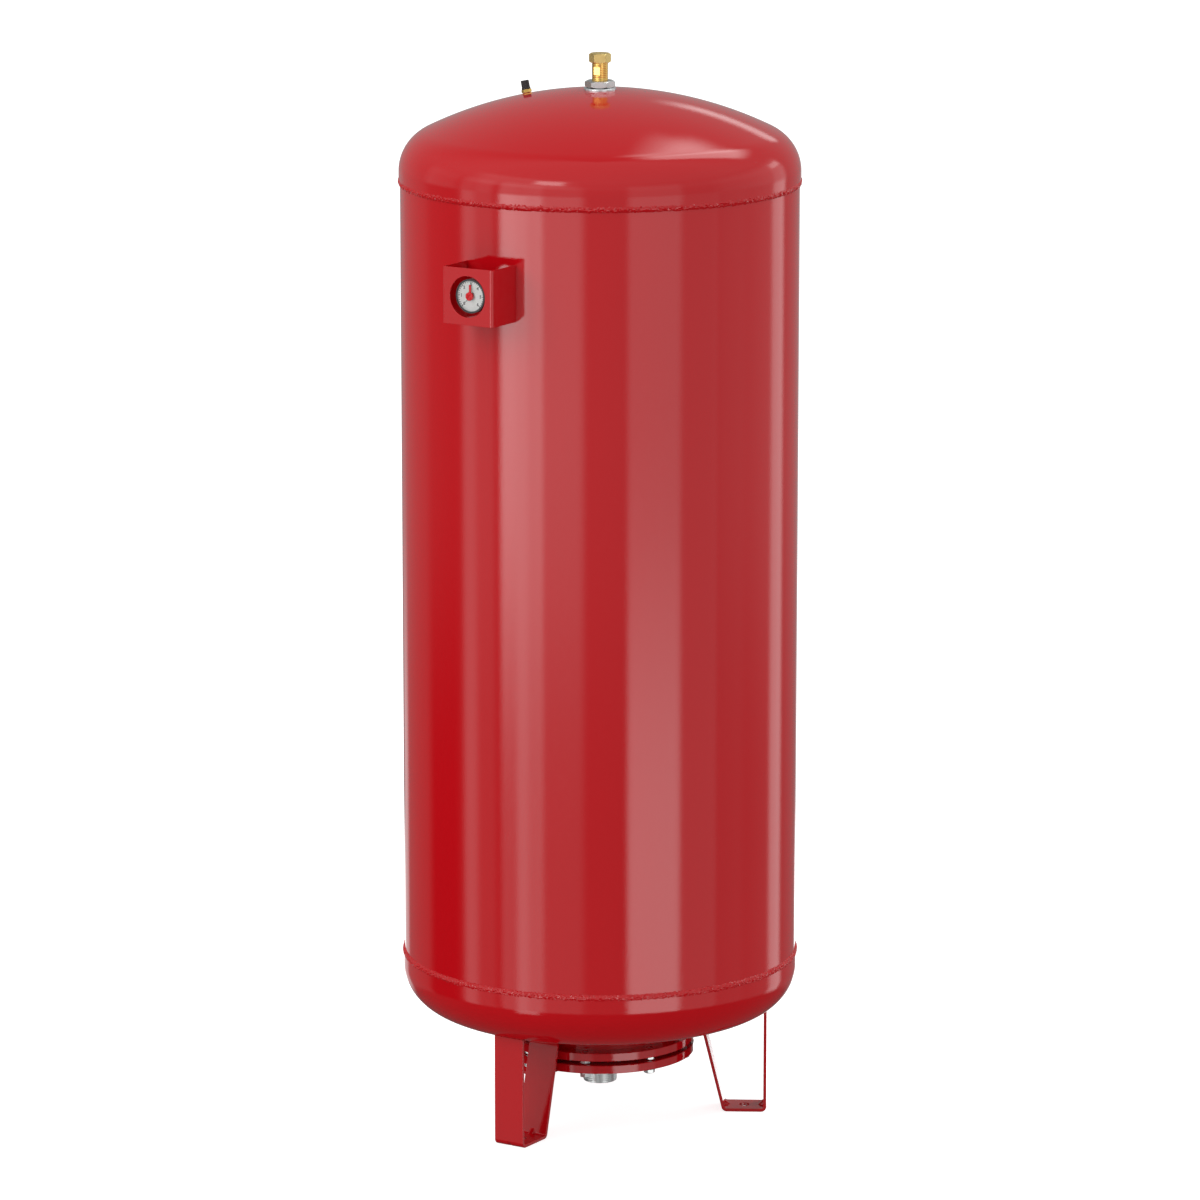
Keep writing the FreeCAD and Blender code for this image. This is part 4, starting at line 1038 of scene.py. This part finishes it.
# Elevations over which the walls' low, eye-line and high parts and the open top fade in
HEIGHT_EDGES = ((-24.0, -19.0), (-12.6, -8.9), (-5.0, 1.0), (17.0, 29.0))
FLOOR_LEVEL = 0.1
TENT_RADIUS = 40.0
TENT_SUBDIVISIONS = 5
FLOOR_HALF_SIZE = 80.0
FLOOR_Z = -0.1 * MM


def soft_step(tree, value, low, high, top=1.0):
    """Soft rise from 0 at one value to the top level at another."""
    return add(tree, "ShaderNodeMapRange", {
        "Value": value, "From Min": low, "From Max": high, "To Max": top,
    }, interpolation_type="SMOOTHSTEP").outputs["Result"]


def turned_away(tree, azimuth, middle):
    """Angle between a direction and a panel's middle, either way round."""
    away = maths(tree, "SUBTRACT", azimuth, middle + CAMERA_AZIMUTH)
    return maths(tree, "ABSOLUTE", maths(tree, "WRAP", away, 180.0, -180.0))


def tent_level(tree, direction):
    """Light level in a direction: the cloth, the wall panels and the hung lamps."""
    axes = add(tree, "ShaderNodeSeparateXYZ", {0: direction}).outputs
    ahead = maths(tree, "MULTIPLY", axes["Y"], -1.0)
    azimuth = maths(tree, "DEGREES", maths(tree, "ARCTAN2", axes["X"], ahead))
    elevation = maths(tree, "DEGREES", maths(tree, "ARCSINE", axes["Z"]))
    # Share of each of the three heights: each one ends where the next begins
    low, eye, high, top = [soft_step(tree, elevation, *edges) for edges in HEIGHT_EDGES]
    low_share = maths(tree, "SUBTRACT", low, eye)
    eye_share = maths(tree, "SUBTRACT", eye, high)
    shares = vector(tree, low_share, eye_share, maths(tree, "SUBTRACT", high, top))
    cloth = dot(tree, vector(tree, low_share, eye_share, high), CLOTH_LEVELS)
    total = maths(tree, "ADD", cloth, FLOOR_LEVEL)
    for middle, half, edge, levels in WALL_PANELS.values():
        distance = turned_away(tree, azimuth, middle)
        across = soft_step(tree, distance, half + edge, half - edge)
        total = maths(tree, "MULTIPLY_ADD", across, dot(tree, shares, levels), total)
    wide, narrow = 1 + LAMP_SOFTNESS, 1 - LAMP_SOFTNESS
    for middle, half, lamp_height, half_height, level in HUNG_LAMPS.values():
        distance = turned_away(tree, azimuth, middle)
        across = soft_step(tree, distance, half * wide, half * narrow, level)
        upright = maths(tree, "ABSOLUTE", maths(tree, "SUBTRACT", elevation, lamp_height))
        inside = soft_step(tree, upright, half_height * wide, half_height * narrow)
        total = maths(tree, "MULTIPLY_ADD", across, inside, total)
    return total


def build_light_tent():
    """Tent round the set that only the gloss sees: soft panels with dimmer cloth between them."""
    material = bpy.data.materials.new("light_tent_cloth")
    tree = bare_tree(material)
    place = add(tree, "ShaderNodeTexCoord").outputs["Object"]
    direction = add(tree, "ShaderNodeVectorMath", {0: place}, operation="NORMALIZE")
    level = tent_level(tree, direction.outputs[0])
    glow = add(tree, "ShaderNodeEmission", {"Color": WHITE, "Strength": level})
    add(tree, "ShaderNodeOutputMaterial", {"Surface": glow.outputs[0]})
    material.cycles.emission_sampling = "NONE"
    work = bmesh.new()
    bmesh.ops.create_icosphere(work, subdivisions=TENT_SUBDIVISIONS, radius=TENT_RADIUS)
    tent = object_from(work, "light_tent", material)
    tent.visible_camera = False
    tent.visible_diffuse = False
    tent.visible_transmission = False
    tent.visible_shadow = False


def build_floor():
    """Plain white floor that keeps the tank's soft shadow."""
    size = FLOOR_HALF_SIZE
    corners = [(x, y, FLOOR_Z) for x, y in ((-size, -size), (size, -size), (size, size), (-size, size))]
    floor = mesh_object("studio_floor", corners, [], [(0, 1, 2, 3)])
    material = bpy.data.materials.new("white_studio_floor")
    tree = bare_tree(material)
    path = add(tree, "ShaderNodeLightPath").outputs
    paper = add(tree, "ShaderNodeBsdfDiffuse", {"Color": linear("#CACACA")})
    seen = maths(tree, "MAXIMUM", path["Is Camera Ray"], path["Is Transmission Ray"])
    strength = maths(tree, "MULTIPLY", seen, FLOOR_GLOW)
    glow = add(tree, "ShaderNodeEmission", {"Color": WHITE, "Strength": strength})
    both = add(tree, "ShaderNodeAddShader", {0: paper.outputs[0], 1: glow.outputs[0]})
    # From below, the floor lets the underside of the feet and the flange show
    below = add(tree, "ShaderNodeNewGeometry").outputs["Backfacing"]
    clear = add(tree, "ShaderNodeBsdfTransparent")
    sheet = add(tree, "ShaderNodeMixShader", {0: below, 1: both.outputs[0], 2: clear.outputs[0]})
    add(tree, "ShaderNodeOutputMaterial", {"Surface": sheet.outputs[0]})
    material.cycles.emission_sampling = "NONE"
    floor.data.materials.append(material)
    floor.visible_glossy = False


def build_lights():
    """Pale surroundings with large soft lamps at the front left and behind on both sides."""
    world = bpy.data.worlds.new("pale_studio")
    tree = bare_tree(world)
    path = add(tree, "ShaderNodeLightPath").outputs
    seen = maths(tree, "MAXIMUM", path["Is Camera Ray"], path["Is Glossy Ray"])
    seen = maths(tree, "MAXIMUM", seen, path["Is Transmission Ray"])
    level = add(tree, "ShaderNodeMapRange", {"Value": seen, "To Min": SKY_LEVEL, "To Max": 1.0})
    sky = add(tree, "ShaderNodeBackground", {"Color": WHITE, "Strength": level.outputs["Result"]})
    add(tree, "ShaderNodeOutputWorld", {"Surface": sky.outputs[0]})
    bpy.context.scene.world = world
    for name, (azimuth, power) in SOFT_LAMPS.items():
        lamp = bpy.data.lights.new(name, "AREA")
        lamp.size = SOFT_LAMP_SIZE
        lamp.energy = power
        box = new_object(name, lamp)
        box.location = on_axis(CAMERA_AZIMUTH + azimuth, SOFT_LAMP_DISTANCE, SOFT_LAMP_HEIGHT)
        aim = Vector(SOFT_LAMP_TARGET) - box.location
        box.rotation_euler = aim.to_track_quat("-Z", "Y").to_euler()
        box.visible_glossy = False


def build_camera():
    """Camera in front, to the right and above, looking down at the vessel's axis."""
    data = bpy.data.cameras.new("camera")
    data.lens = CAMERA_LENS
    data.clip_end = CAMERA_REACH
    camera = new_object("camera", data)
    camera.location = on_axis(CAMERA_AZIMUTH, CAMERA_DISTANCE, CAMERA_HEIGHT)
    camera.rotation_euler = (math.radians(90.0 - CAMERA_PITCH), 0.0, math.radians(CAMERA_AZIMUTH))
    bpy.context.scene.camera = camera


dress_packed_parts()
build_heads()
build_welds()
build_flange()
build_nozzle()
build_vent_washer()
build_vent_stem()
build_valve_cap()
build_valve_spring()
build_edged_parts()
build_dial()
build_light_tent()
build_floor()
build_lights()
build_camera()
bpy.context.scene.view_settings.view_transform = "Standard"
